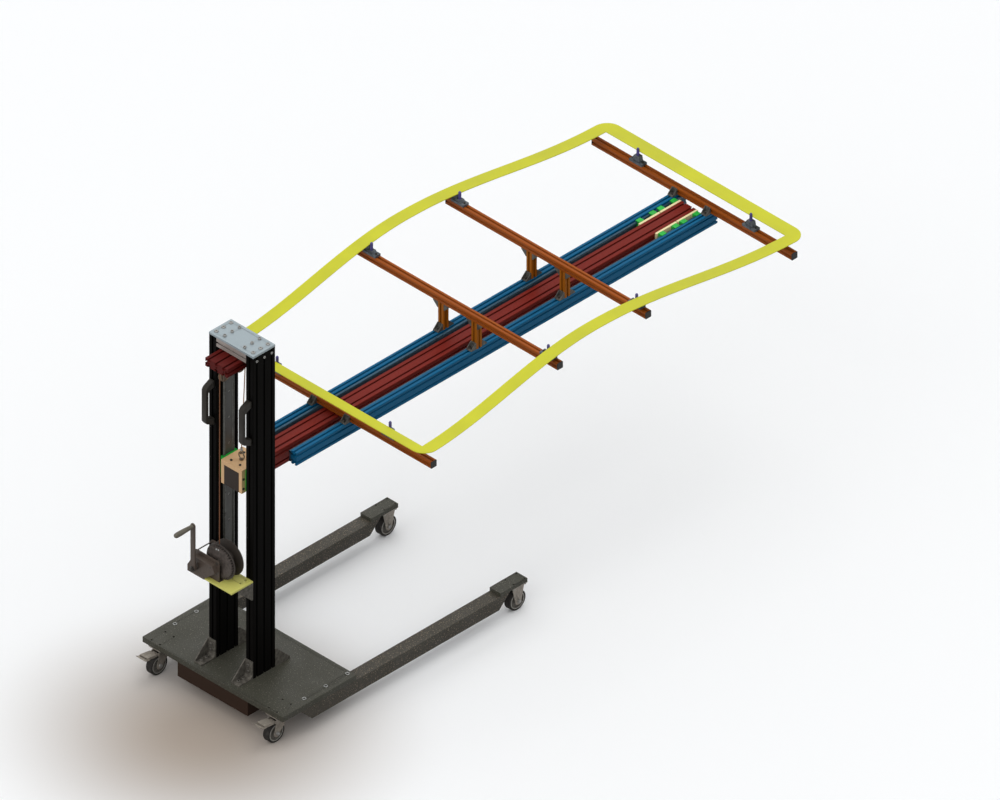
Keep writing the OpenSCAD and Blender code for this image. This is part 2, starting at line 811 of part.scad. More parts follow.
module front_forks() color([0.45, 0.44, 0.41]) placed() for (side = [-1, 1]) front_at(side) front_fork();
module front_axles() color([0.6, 0.6, 0.58]) placed() for (side = [-1, 1]) front_at(side) axle(0);
module front_rim_left() color([0.5, 0.48, 0.45]) placed() front_at(-1) rim(0);
module front_rim_right() color([0.5, 0.48, 0.45]) placed() front_at(1) rim(0);
module front_tyre_left() color([0.12, 0.11, 0.1]) placed() front_at(-1) tyre(0);
module front_tyre_right() color([0.12, 0.11, 0.1]) placed() front_at(1) tyre(0);

// Mast
module posts() color([0.05, 0.05, 0.05]) placed() both_sides()
    translate([post_x, post_mid, 0]) along_z(base_top, mast_top) large_profile(1, 3);

// Feet of the posts, behind and in front, and the two under the shelf
module at_gussets() {
    for (side = [-1, 1]) translate([side * post_x, 0, 0]) {
        translate([0, post_y, base_top]) rotate([0, 0, -90]) children();
        translate([0, post_front, base_top]) rotate([0, 0, 90]) children();
        translate([0, post_y, shelf_top - shelf_t]) rotate([0, 180, 0]) rotate([0, 0, -90]) children();
    }
}

module corner_gussets() color([0.33, 0.31, 0.29]) placed() at_gussets() large_gusset();

module top_plate() color([0.65, 0.70, 0.72]) placed() difference() {
    block([-mast_w / 2, post_y, mast_top], [mast_w / 2, post_front, mast_top + top_t]);
    for (x = [-post_x, -plate_screw_x, plate_screw_x, post_x], i = [-1, 0, 1])
        rod_z(bolt_r + bolt_gap, mast_top - over, mast_top + top_t + over, x, post_mid + i * cell);
}

module top_beam() color([0.37, 0.33, 0.31]) placed()
    along_x(-post_gap / 2, post_gap / 2) translate([post_mid, beam_bottom + cell / 2]) large_profile(3, 1);

module pulley_beam() color([0.42, 0.10, 0.09]) placed()
    along_y(post_y - pulley_back, post_y - pulley_back + pulley_len)
        translate([0, pulley_bottom + cell / 2]) large_profile(3, 1);

module mast_rails() color([0.31, 0.31, 0.30]) placed() both_sides() difference() {
    low = base_top + rail_foot;
    along_z(low, low + mast_rail_len)
        translate([post_gap / 2, post_mid]) mirror([1, 0]) rail_shape(mast_rod);
    for (z = [rail_pitch / 2 : rail_pitch : mast_rail_len - rail_pitch / 4]) {
        rod_x(rail_hole_r, 0, post_gap / 2 + over, post_mid, low + z);
        rod_x(rail_sink_r, 0, post_gap / 2 - rail_web + rail_sink, post_mid, low + z);
    }
}

module push_handles() color([0.16, 0.15, 0.14]) placed() both_sides() {
    head = mast_top - handle_down;
    foot = head - handle_span;
    half = handle_foot / 2;
    back = post_y - handle_out;
    grip = back + handle_bar;
    low = foot + half;
    high = head - half;
    along_x(post_x - handle_w / 2, post_x + handle_w / 2) difference() {
        polygon([
            [post_y, foot - half], [post_y - 6, foot - half], [back + 8, foot + 2], [back, foot + 14],
            [back, head - 14], [back + 8, head - 2], [post_y - 6, head + half], [post_y, head + half]
        ]);
        polygon([
            [post_y + over, low], [post_y - 4, low], [grip + 5, low + 9], [grip, low + 16],
            [grip, high - 16], [grip + 5, high - 9], [post_y - 4, high], [post_y + over, high]
        ]);
    }
}

// The screws of a caster, up through its mounting plate and its carrier of thickness t
module caster_screws(pitch, t) {
    at_corners(0, 0, bolt_x, pitch) translate([0, 0, caster_h - caster_t]) mirror([0, 0, 1])
        screw(socket_r, caster_head_h, caster_t + t - bolt_short);
}

// Screws, each in its own hole
module chassis_screws() color([0.72, 0.73, 0.72]) placed() {
    both_sides() {
        for (y = leg_screw_y) translate([leg_x, y, base_top]) screw(low_r, low_h, base_t + leg_wall);
        swivel_at(1) caster_screws(rear_bolt_y, base_t);
        front_at(1) caster_screws(front_bolt_y, pad_t);
        for (i = [-1, 0, 1]) translate([0, post_mid + i * cell, 0]) {
            translate([post_x, 0, mast_top + top_t]) screw(button_r, button_h, top_t);
            translate([plate_screw_x, 0, mast_top + top_t]) screw(socket_r, socket_h, top_t);
            translate([mast_w / 2, 0, beam_bottom + cell / 2]) rotate([0, 90, 0])
                screw(socket_r - 1, low_h, lip);
        }
    }
    at_gussets() for (d = gusset_bolts) {
        translate([d, 0, gusset_flange]) screw(socket_r, socket_h, gusset_flange);
        translate([gusset_flange, 0, d]) rotate([0, 90, 0]) screw(socket_r, socket_h, gusset_flange);
    }
}

// Winch
module winch_shelf() color([0.78, 0.78, 0.38]) placed() difference() {
    block([-mast_w / 2, post_y - shelf_d, shelf_top - shelf_t], [mast_w / 2, post_y, shelf_top]);
    for (x = [-shelf_hole_x, shelf_hole_x], y = [shelf_hole_in, shelf_hole_in + shelf_hole_pitch])
        rod_z(shelf_hole_r, shelf_top - shelf_t - over, shelf_top + over, x, post_y - y);
}

module winch_side() {
    difference() {
        polygon([
            [winch_left, shelf_top], [winch_right, shelf_top], [winch_right, winch_top - 6],
            [winch_right - 6, winch_top], [winch_left + 4, winch_top], [winch_left, winch_top - 4]
        ]);
        translate([drum_x, drum_z]) circle(drum_shaft_r + run_gap);
        translate([pinion_x, pinion_z]) circle(crank_shaft_r + run_gap);
    }
}

module winch_frame() color([0.28, 0.24, 0.23]) placed() {
    along_y(winch_back, winch_back + winch_t) winch_side();
    along_y(winch_front - winch_t, winch_front) winch_side();
    block([winch_left, winch_back, shelf_top], [winch_right, winch_front, shelf_top + winch_floor]);
    rod_y(2.5, winch_back + winch_t / 2, winch_front - winch_t / 2, winch_left + 6, winch_top - 6);
}

// The cover's outline, drawn in by inset on every side
module cover_shape(inset) {
    left = winch_left - 21 + inset;
    right = winch_right - 3 - inset;
    top = winch_top - 18 - inset;
    bottom = shelf_top + inset;
    polygon([
        [left, bottom], [cover_foot - inset, bottom], [right, shelf_top + 48], [right - 15, top],
        [left + 30, top], [left + 10, shelf_top + 40], [left, shelf_top + 24]
    ]);
}

// Its front wall hangs a little over the shelf's rear edge
module winch_cover() color([0.30, 0.26, 0.24]) placed() difference() {
    front = winch_back - cover_d;
    union() {
        along_y(front, winch_back) cover_shape(0);
        block([winch_left - 21, front, shelf_top - 6], [cover_foot, front + cover_t, shelf_top + over]);
    }
    along_y(front + cover_t, winch_back + over) cover_shape(cover_t);
    rod_y(crank_shaft_r + 2, front - over, winch_back, pinion_x, pinion_z);
}

// Half the angle of a tooth at radius r, in degrees
function inv(a) = tan(a) * 180 / PI - a;
function tooth_half(teeth, r) =
    let (
        pitch_r = gear_m * teeth / 2,
        base_r = pitch_r * cos(pressure),
        slope = acos(min(1, base_r / max(r, base_r)))
    )
    90 / teeth - backlash / (2 * pitch_r) * 180 / PI + inv(pressure) - inv(slope);

// Outline of a spur gear with one tooth on the x axis
function gear_points(teeth) =
    let (
        pitch_r = gear_m * teeth / 2,
        root = pitch_r - dedendum * gear_m,
        start = max(root, pitch_r * cos(pressure)),
        tip = pitch_r + addendum * gear_m,
        flank = concat(
            root < start ? [[root, tooth_half(teeth, start)]] : [],
            [for (i = [0 : flank_steps])
                let (r = start + (tip - start) * i / flank_steps)
                [r, tooth_half(teeth, r)]]
        ),
        n = len(flank)
    )
    [for (k = [0 : teeth - 1], i = [0 : 2 * n - 1])
        let (
            p = i < n ? flank[i] : flank[2 * n - 1 - i],
            a = 360 * k / teeth + (i < n ? -p[1] : p[1])
        )
        [p[0] * cos(a), p[0] * sin(a)]];

module drum_gear() color([0.25, 0.22, 0.21]) placed()
    along_y(gear_back, gear_front) translate([drum_x, drum_z]) difference() {
        rotate(pinion_dir) polygon(gear_points(gear_teeth));
        circle(gear_hub_r);
    }

module winch_drum() color([0.20, 0.18, 0.17]) placed() {
    inner = winch_back + winch_t + free_gap;
    outer = winch_front - winch_t - free_gap;
    rod_y(drum_shaft_r, winch_back + free_gap, winch_front, drum_x, drum_z);
    rod_y(drum_shaft_r + 4, inner, outer, drum_x, drum_z);
    rod_y(gear_hub_r, gear_back - 3, gear_front, drum_x, drum_z);
    rod_y(drum_r, gear_front, drum_front, drum_x, drum_z);
    rod_y(flange_r, gear_front, drum_back, drum_x, drum_z);
    rod_y(flange_r, drum_front, drum_front + flange_t, drum_x, drum_z);
}

// A faceted tube of the cable's radius along a path, with a ring of points at each path point
tube_sides = 8;
function unit(v) = v / norm(v);
function path_dir(path, i) =
    let (
        last = len(path) - 1,
        back = unit(path[max(i, 1)] - path[max(i, 1) - 1]),
        ahead = unit(path[min(i, last - 1) + 1] - path[min(i, last - 1)])
    )
    unit(back + ahead);
function tube_points(path) =
    [for (i = [0 : len(path) - 1], s = [0 : tube_sides - 1])
        let (
            d = path_dir(path, i),
            u = unit(cross(d, [1, -1, 0])),
            v = cross(d, u),
            t = 360 * s / tube_sides
        )
        path[i] + cable_r * (cos(t) * u + sin(t) * v)];
function tube_faces(count) =
    let (n = tube_sides, e = (count - 1) * n)
    concat(
        [for (s = [1 : n - 2]) [0, s + 1, s]],
        [for (i = [0 : count - 2], s = [0 : n - 1], half = [0, 1])
            let (p = i * n + s, q = i * n + (s + 1) % n)
            half == 0 ? [p, q, p + n] : [q, q + n, p + n]],
        [for (s = [1 : n - 2]) [e, e + s, e + s + 1]]
    );

module tube(path) {
    polyhedron(tube_points(path), tube_faces(len(path)));
}

// The wound cable starts beside the rear flange and ends beside the standing turn
winding_end = 130;
winding_rings = 24 * winding_turns;
function winding_point(a) = [
    drum_x + wrap_r * cos(a),
    winding_start + winding_pitch * (winding_turns - (winding_end - a) / 360),
    drum_z + wrap_r * sin(a)
];
winding_path = [for (i = [0 : winding_rings])
    winding_point(winding_end - 360 * winding_turns * (1 - i / winding_rings))];

module drum_winding() color([0.47, 0.27, 0.15]) placed() tube(winding_path);

// The ratchet wheel is keyed to the shaft under the cover
module pinion_shaft() color([0.36, 0.33, 0.31]) placed() {
    ratchet_r = 27;
    teeth = 12;
    rod_y(crank_shaft_r, crank_back - 4, winch_front + 1.5, pinion_x, pinion_z);
    rod_y(crank_shaft_r + 4, winch_back + winch_t + free_gap, gear_back - 1, pinion_x, pinion_z);
    inner_front = winch_front - winch_t - free_gap;
    rod_y(crank_shaft_r + 3, inner_front - 6, inner_front, pinion_x, pinion_z);
    along_y(gear_back - 1, gear_front - free_gap) translate([pinion_x, pinion_z])
        rotate(pinion_dir + 180 + 180 / pinion_teeth) polygon(gear_points(pinion_teeth));
    along_y(winch_back - cover_d + 5, winch_back - 4) translate([pinion_x, pinion_z]) difference() {
        polygon([for (k = [0 : teeth - 1], half = [0, 1])
            let (a = 360 * (k + half * 0.12) / teeth, r = half == 0 ? ratchet_r : ratchet_r - 5)
            [r * cos(a), r * sin(a)]]);
        circle(crank_shaft_r);
    }
}

module crank_arm() color([0.30, 0.26, 0.24]) placed() {
    along_y(crank_back, crank_front) difference() {
        union() {
            translate([pinion_x - crank_w / 2, pinion_z]) square([crank_w, crank_len]);
            translate([pinion_x, pinion_z]) circle(crank_w / 2 + 1);
            translate([pinion_x, pinion_z + crank_len]) circle(crank_w / 2);
        }
        translate([pinion_x, pinion_z]) circle(crank_shaft_r);
    }
    along_y(crank_front, crank_front + 8) translate([pinion_x, pinion_z]) difference() {
        circle(crank_w / 2 - 1);
        circle(crank_shaft_r);
    }
    rod_y(spindle_r, spindle_end, crank_front, pinion_x, pinion_z + crank_len);
}

module crank_grip() color([0.33, 0.32, 0.29]) placed() {
    len = grip_len;
    bore_end = len - 4;
    translate([pinion_x, grip_front, pinion_z + crank_len]) rotate([90, 0, 0]) rotate_extrude() polygon([
        [spindle_r + run_gap, 0], [grip_r * 0.7, 0], [grip_r * 0.8, 3], [grip_r * 0.96, len * 0.2],
        [grip_r, len * 0.36], [grip_r * 0.96, len * 0.55], [grip_r * 0.72, len - 8],
        [grip_r * 0.66, len - 2], [grip_r * 0.4, len],
        [0, len], [0, bore_end], [spindle_r + run_gap, bore_end]
    ]);
}

// Cable path: once around the drum, up to the rear sheave, over both sheaves and down again
arc_step = 12;
function arc_angles(from, to) =
    let (n = ceil(abs(to - from) / arc_step)) [for (i = [0 : n]) from + (to - from) * i / n];
function sheave_arc(y, from, to) =
    [for (a = arc_angles(from, to)) [0, y + groove_line * cos(a), sheave_z + groove_line * sin(a)]];
lift_path = concat(
    [for (a = arc_angles(180 + wrap_sweep, 180))
        [drum_x + wrap_r * cos(a), cable_y, drum_z + wrap_r * sin(a)]],
    sheave_arc(rear_sheave_y, 180, 90),
    sheave_arc(front_sheave_y, 90, drop_dir)
);

module lift_cable() color([0.47, 0.27, 0.15]) placed() tube(lift_path);

module drop_cable() color([0.62, 0.48, 0.36]) placed()
    strut([0, eye_y, ferrule_top + free_gap], drop_start, cable_r);

module sheave(y) {
    bearing_r = 10;
    half = sheave_w / 2;
    web = half - 1.5;
    band = sheave_r - 5;
    groove = cable_r + free_gap;
    translate([0, y, sheave_z]) rotate([0, 90, 0]) rotate_extrude($fn = 72) difference() {
        polygon([
            [axle_r + run_gap, -half], [bearing_r, -half], [bearing_r + 1, -web],
            [band - 1, -web], [band, -half], [sheave_r, -half + 1],
            [sheave_r, -groove - 1.3], [groove_line, -groove], [groove_line, groove],
            [sheave_r, groove + 1.3], [sheave_r, half - 1], [band, half],
            [band - 1, web], [bearing_r + 1, web], [bearing_r, half],
            [axle_r + run_gap, half]
        ]);
        translate([groove_line, 0]) circle(groove);
    }
}

module sheave_rear() color([0.55, 0.55, 0.53]) placed() sheave(rear_sheave_y);
module sheave_front() color([0.55, 0.55, 0.53]) placed() sheave(front_sheave_y);

module sheave_bracket() color([0.40, 0.38, 0.36]) placed() both_sides() {
    inner = sheave_w / 2 + 1.5;
    outer = inner + bracket_t;
    rear = rear_sheave_y - 16;
    front = front_sheave_y + 16;
    difference() {
        block([inner, rear, sheave_z - 14], [outer, front, pulley_bottom]);
        for (y = [rear_sheave_y, front_sheave_y]) rod_x(axle_r, 0, outer + over, y, sheave_z);
    }
    block([inner, rear, pulley_bottom - bracket_t], [cell - 5, front, pulley_bottom]);
}

module sheave_pins() color([0.62, 0.62, 0.6]) placed() for (y = [rear_sheave_y, front_sheave_y]) {
    end = sheave_w / 2 + 1.5 + bracket_t;
    rod_x(axle_r, -end, end, y, sheave_z);
    rod_x(axle_r + 2.5, end, end + 3, y, sheave_z);
    rod_x(axle_r + 2.5, -end - 3, -end, y, sheave_z);
}

// Lift carriage and boom
module carriage_box() color([0.88, 0.72, 0.54]) placed() difference() {
    carriage_front = carriage_rear + carriage_d;
    block([-carriage_half, carriage_rear, carriage_floor], [carriage_half, carriage_front, carriage_top]);
    block([-cell, carriage_rear - over, boom_bottom], [cell, carriage_front + over, boom_top]);
    block([-cell, carriage_rear - over, carriage_floor - over], [cell, boom_rear, boom_top]);
    rod_z(bolt_r + bolt_gap, boom_top - over, carriage_top + over, 0, eye_y);
}

module carriage_back() color([0.17, 0.13, 0.11]) placed()
    block([-cell, carriage_rear, carriage_floor], [cell, boom_rear, boom_top]);

module carriage_bearings() color([0.16, 0.55, 0.22]) placed() both_sides()
    along_z(boom_z + block_up - block_h / 2, boom_z + block_up + block_h / 2)
        translate([post_gap / 2, post_mid]) mirror([1, 0])
            bearing_shape(mast_rod, mast_rod + rod_r + 9, post_gap / 2 - carriage_half);

module boom() color([0.42, 0.13, 0.11]) placed()
    along_y(boom_rear, boom_front) translate([0, boom_z]) difference() {
        large_profile(2, 2);
        cut_corners(boom_bore, boom_bore, 3);
    }

// A torus about the Z axis
module torus(r, wire) {
    rotate_extrude() translate([r, 0]) circle(wire, $fn = 24);
}

module lifting_eye() color([0.35, 0.30, 0.24]) placed() translate([0, eye_y, 0]) {
    translate([0, 0, eye_z]) rotate([90, 0, 0]) torus(eye_r, eye_wire);
    rod_z(eye_foot_r, carriage_top, carriage_top + eye_foot_h, 0, 0);
    rod_z(bolt_r, boom_top + over, carriage_top + over, 0, 0);
    translate([0, 0, loop_z]) rotate([0, 90, 0]) torus(loop_r, cable_r);
    rod_z(ferrule_r, loop_z + loop_r - 1, ferrule_top, 0, 0);
}

slide_starts = [for (p = [0, 1], b = [0, 1])
    boom_front - (2 - p) * slide_plate_len - (1 - p) * slide_split
    + (b == 0 ? slide_in : slide_plate_len - slide_in - slide_len)];

module slide_plates() color([0.94, 0.86, 0.66]) placed() both_sides() for (p = [0, 1]) {
    y = boom_front - (2 - p) * slide_plate_len - (1 - p) * slide_split;
    block([cell, y, boom_bottom + 4], [cell + slide_plate_t, y + slide_plate_len, boom_top]);
}

module slide_bearings() color([0.16, 0.66, 0.24]) placed() both_sides() for (y = slide_starts)
    along_y(y, y + slide_len) translate([beam_x - small / 2, beam_z]) mirror([1, 0])
        bearing_shape(beam_rod, slide_half, beam_x - small / 2 - cell - slide_plate_t);

// Sliding frame
module beams() color([0.03, 0.26, 0.38]) placed() both_sides()
    along_y(beam_y, beam_end) translate([beam_x, beam_z]) small_profile(1, 2);

module beam_rails() color([0.31, 0.31, 0.30]) placed() both_sides()
    along_y(beam_y, beam_end) translate([beam_x - small / 2, beam_z]) mirror([1, 0]) rail_shape(beam_rod);

module cross_bars() color([0.55, 0.27, 0.07]) placed() for (i = [0 : 3])
    along_x(-bar_len / 2 + cap_t, bar_len / 2 - cap_t)
        translate([bar_y[i], bar_base[i] + small / 2]) small_profile(1, 1);

module bar_caps() color([0.08, 0.08, 0.08]) placed() both_sides() for (i = [0 : 3])
    along_x(bar_len / 2 - cap_t, bar_len / 2)
        translate([bar_y[i], bar_base[i] + small / 2]) cut_corners(small, small, edge);

module bar_posts() color([0.47, 0.29, 0.08]) placed() both_sides() for (i = [1, 2])
    translate([beam_x, bar_y[i], 0]) along_z(beam_top, beam_top + riser_h) small_profile(1, 1);

// Small gussets behind and in front of a post or bar at y, on the plane z
module gusset_behind(y, z) {
    translate([beam_x, y - small / 2, z]) rotate([0, 0, -90]) small_gusset();
}

module gusset_ahead(y, z) {
    translate([beam_x, y + small / 2, z]) rotate([0, 0, 90]) small_gusset();
}

// Small gussets hanging under a bar, on a post's outer and inner face
module hanging_gussets(y, z) {
    for (turn = [0, 180])
        translate([beam_x, y, z]) mirror([0, 0, 1]) rotate([0, 0, turn]) translate([small / 2, 0, 0])
            small_gusset();
}

module bar_gussets() color([0.24, 0.23, 0.22]) placed() both_sides() {
    for (y = bar_y) gusset_behind(y, beam_top);
    for (i = [1, 2]) {
        gusset_ahead(bar_y[i], beam_top);
        hanging_gussets(bar_y[i], bar_base[i]);
    }
}

// Places of the pins on the right side: distance from the middle, and length above the bar
pin_x = [pin_in, pin_out, pin_out, pin_in];
pin_top = [pin_top_high, pin_top_low, pin_top_low, pin_top_high];

// A stop block: a foot on the bar and a tapered boss round the pin
module stop_block(x, y, z, top) {
    foot_t = 10;
    boss_wide = 18;
    boss_top = 13;
    boss_half = 11;
    difference() {
        union() {
            block([x - stop_len / 2, y - small / 2, z], [x + stop_len / 2, y + small / 2, z + foot_t]);
            along_y(y - boss_half, y + boss_half) polygon([
                [x - boss_wide, z + foot_t - over], [x + boss_wide, z + foot_t - over],
                [x + boss_top, top], [x - boss_top, top]
            ]);
        }
        rod_z(pin_r, z + 2, top + over, x, y);
    }
}

// The upright on the outer end of a middle bar's block, cut to the panel frame's underside
module riser(y, z) {
    reach = pin_out + stop_len / 2;
    intersection() {
        block([bar_len / 2 - ring_side + 1, y - small / 4, z + 1], [reach, y + small / 4, z + 80]);
        along_x(0, bar_len / 2) polygon(concat([[ring_rear, 0]], arch_line(-ring_t), [[ring_front, 0]]));
    }
}

module stop_blocks() color([0.30, 0.32, 0.33]) placed() both_sides() for (i = [0 : 3]) {
    stop_block(pin_x[i], bar_y[i], bar_base[i] + small, bar_base[i] + small + pin_top[i] - pin_show);
    if (i == 1 || i == 2) riser(bar_y[i], bar_base[i] + small);
}

module stop_pins() color([0.27, 0.25, 0.45]) placed() both_sides() for (i = [0 : 3]) {
    z = bar_base[i] + small;
    rod_z(pin_r, z + 2, z + pin_top[i] - 4, pin_x[i], bar_y[i]);
    translate([pin_x[i], bar_y[i], z + pin_top[i] - 4]) cylinder(r1 = pin_r, r2 = pin_r - 2, h = 4);
}

// A smooth step from 0 at a to 1 at b: half a cosine wave
function wave(y, a, b) = (1 - cos(180 * (y - a) / (b - a))) / 2;

// Height of the panel frame's top face: one wave up to the peak and one down again
function arch_z(y) = beam_top + (y < ring_peak
    ? arch_rear + (arch_top - arch_rear) * wave(y, ring_rear, ring_peak)
    : arch_front + (arch_top - arch_front) * wave(y, ring_front, ring_peak));

function arch_line(shift) = [for (i = [0 : 2 * arch_steps])
    let (y = i < arch_steps ? ring_rear + (ring_peak - ring_rear) * i / arch_steps
                            : ring_peak + (ring_front - ring_peak) * (i - arch_steps) / arch_steps)
    [y, arch_z(y) + shift]];

function backwards(list) = [for (i = [len(list) - 1 : -1 : 0]) list[i]];

module ring_plan() {
    half = bar_len / 2;
    len = ring_front - ring_rear;
    c = ring_corner;
    difference() {
        union() {
            translate([-half + c, ring_rear]) square([2 * (half - c), len]);
            translate([-half, ring_rear + c]) square([2 * half, len - 2 * c]);
            for (sx = [-1, 1], y = [ring_rear + c, ring_front - c])
                translate([sx * (half - c), y]) circle(c, $fn = 72);
        }
        translate([-half + ring_side, ring_rear + ring_rear_w])
            square([2 * (half - ring_side), len - ring_front_w - ring_rear_w]);
    }
}

module panel_frame() color([0.77, 0.77, 0.22]) placed() intersection() {
    along_x(-bar_len / 2, bar_len / 2) polygon(concat(arch_line(-ring_t), backwards(arch_line(0))));
    along_z(beam_top, beam_top + arch_top + over) ring_plan();
}

base_plate();
ballast_block();
legs();
front_pads();
posts();
corner_gussets();
top_plate();
top_beam();
pulley_beam();
mast_rails();
push_handles();
winch_shelf();
winch_frame();
winch_cover();
sheave_bracket();
sheave_pins();
chassis_screws();
caster_plates();
front_forks();
front_axles();
lift_cable();
rear_fork_left();
rear_fork_right();
rear_axle_left();
rear_axle_right();
rear_rim_left();
rear_rim_right();
rear_tyre_left();
rear_tyre_right();
brake_pedal_left();
brake_pedal_right();
front_rim_left();
front_rim_right();
front_tyre_left();
front_tyre_right();
winch_drum();
drum_gear();
drum_winding();
pinion_shaft();
crank_arm();
crank_grip();
sheave_rear();
sheave_front();
carriage_box();
carriage_back();
carriage_bearings();
boom();
lifting_eye();
slide_plates();
slide_bearings();
drop_cable();
beams();
beam_rails();
cross_bars();
bar_posts();
bar_gussets();
stop_blocks();
stop_pins();
bar_caps();
panel_frame();
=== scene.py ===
"""Looks of an installation cart: wheeled base, winch mast, lift carriage and sliding frame.

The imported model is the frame. Its rigid pieces keep their shape and get their finishes here.
Cables, tyres, handles and other moulded pieces, and the small fasteners, are modelled in this
file and ride on the same bodies.
"""

import json
import logging
import math
from collections.abc import Callable, Iterable, Iterator, Sequence
from contextlib import contextmanager
from dataclasses import dataclass, field
from enum import Enum

import bmesh
import bpy
from mathutils import Euler, Matrix, Vector


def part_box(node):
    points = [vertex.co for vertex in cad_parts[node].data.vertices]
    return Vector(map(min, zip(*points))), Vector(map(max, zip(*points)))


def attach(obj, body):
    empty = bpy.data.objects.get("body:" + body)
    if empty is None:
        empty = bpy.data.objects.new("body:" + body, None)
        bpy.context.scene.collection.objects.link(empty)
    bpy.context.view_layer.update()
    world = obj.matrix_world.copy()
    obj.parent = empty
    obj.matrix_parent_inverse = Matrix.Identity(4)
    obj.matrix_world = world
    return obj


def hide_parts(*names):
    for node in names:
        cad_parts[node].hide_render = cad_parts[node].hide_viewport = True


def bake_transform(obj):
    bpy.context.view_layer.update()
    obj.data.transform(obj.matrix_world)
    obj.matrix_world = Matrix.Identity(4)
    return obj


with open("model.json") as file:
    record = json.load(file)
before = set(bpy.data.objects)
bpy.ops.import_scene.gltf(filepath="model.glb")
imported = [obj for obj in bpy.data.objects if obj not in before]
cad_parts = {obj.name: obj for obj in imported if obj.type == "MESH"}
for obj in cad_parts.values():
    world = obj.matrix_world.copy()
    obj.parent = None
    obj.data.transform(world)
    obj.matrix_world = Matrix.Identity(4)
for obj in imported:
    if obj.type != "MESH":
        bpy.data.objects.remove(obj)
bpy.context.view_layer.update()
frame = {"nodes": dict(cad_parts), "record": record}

log = logging.getLogger("cart")

MM = 0.001
WELD = 0.00001
REAR_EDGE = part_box("base_plate")[0].y

Rgb = tuple[float, float, float]
Piece = bpy.types.Object
Socket = bpy.types.NodeSocket


def ahead(y: float) -> float:
    """Where a distance from the base plate's rear edge, in millimetres, lies along the cart."""
    return REAR_EDGE + y * MM


def at(x: float, y: float, z: float) -> Vector:
    """A point given as the part's own millimetres.

    Args:
        x: Distance to the cart's right.
        y: Distance in front of the base plate's rear edge.
        z: Height above the floor.

    Returns:
        The point in the frame's metres.
    """
    return Vector((x * MM, ahead(y), z * MM))


def middle(node: str) -> Vector:
    """The middle of a CAD node's box."""
    low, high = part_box(node)
    return (low + high) / 2


def screen(red: int, green: int, blue: int) -> Rgb:
    """A colour given as 0 to 255 on screen, as the linear colour that a shader wants."""
    def linear(value: int) -> float:
        """One channel."""
        share = value / 255
        return share / 12.92 if share <= 0.04045 else ((share + 0.055) / 1.055) ** 2.4
    return linear(red), linear(green), linear(blue)


def shade(colour: Rgb, factor: float) -> Rgb:
    """A colour made darker or lighter by a factor."""
    return tuple(min(1.0, channel * factor) for channel in colour)


class Side(Enum):
    """The two sides of the cart."""

    LEFT = -1
    RIGHT = 1

    @property
    def word(self) -> str:
        """The side's name as the CAD nodes have it."""
        return self.name.lower()

    def end(self, node: str) -> float:
        """Where a CAD node ends on this side, in metres."""
        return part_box(node)[1 if self is Side.RIGHT else 0].x


class Along(Enum):
    """The axis that a piece is turned about or a profile runs along."""

    X = 0
    Y = 1
    Z = 2

    def turn(self) -> Matrix:
        """The rotation that takes the Z axis to this axis."""
        if self is Along.X:
            return Matrix.Rotation(math.pi / 2, 4, "Y")
        if self is Along.Y:
            return Matrix.Rotation(-math.pi / 2, 4, "X")
        return Matrix.Identity(4)


class Pick(Enum):
    """What a selection in edit mode takes."""

    FACE = "faces"
    EDGE = "edges"


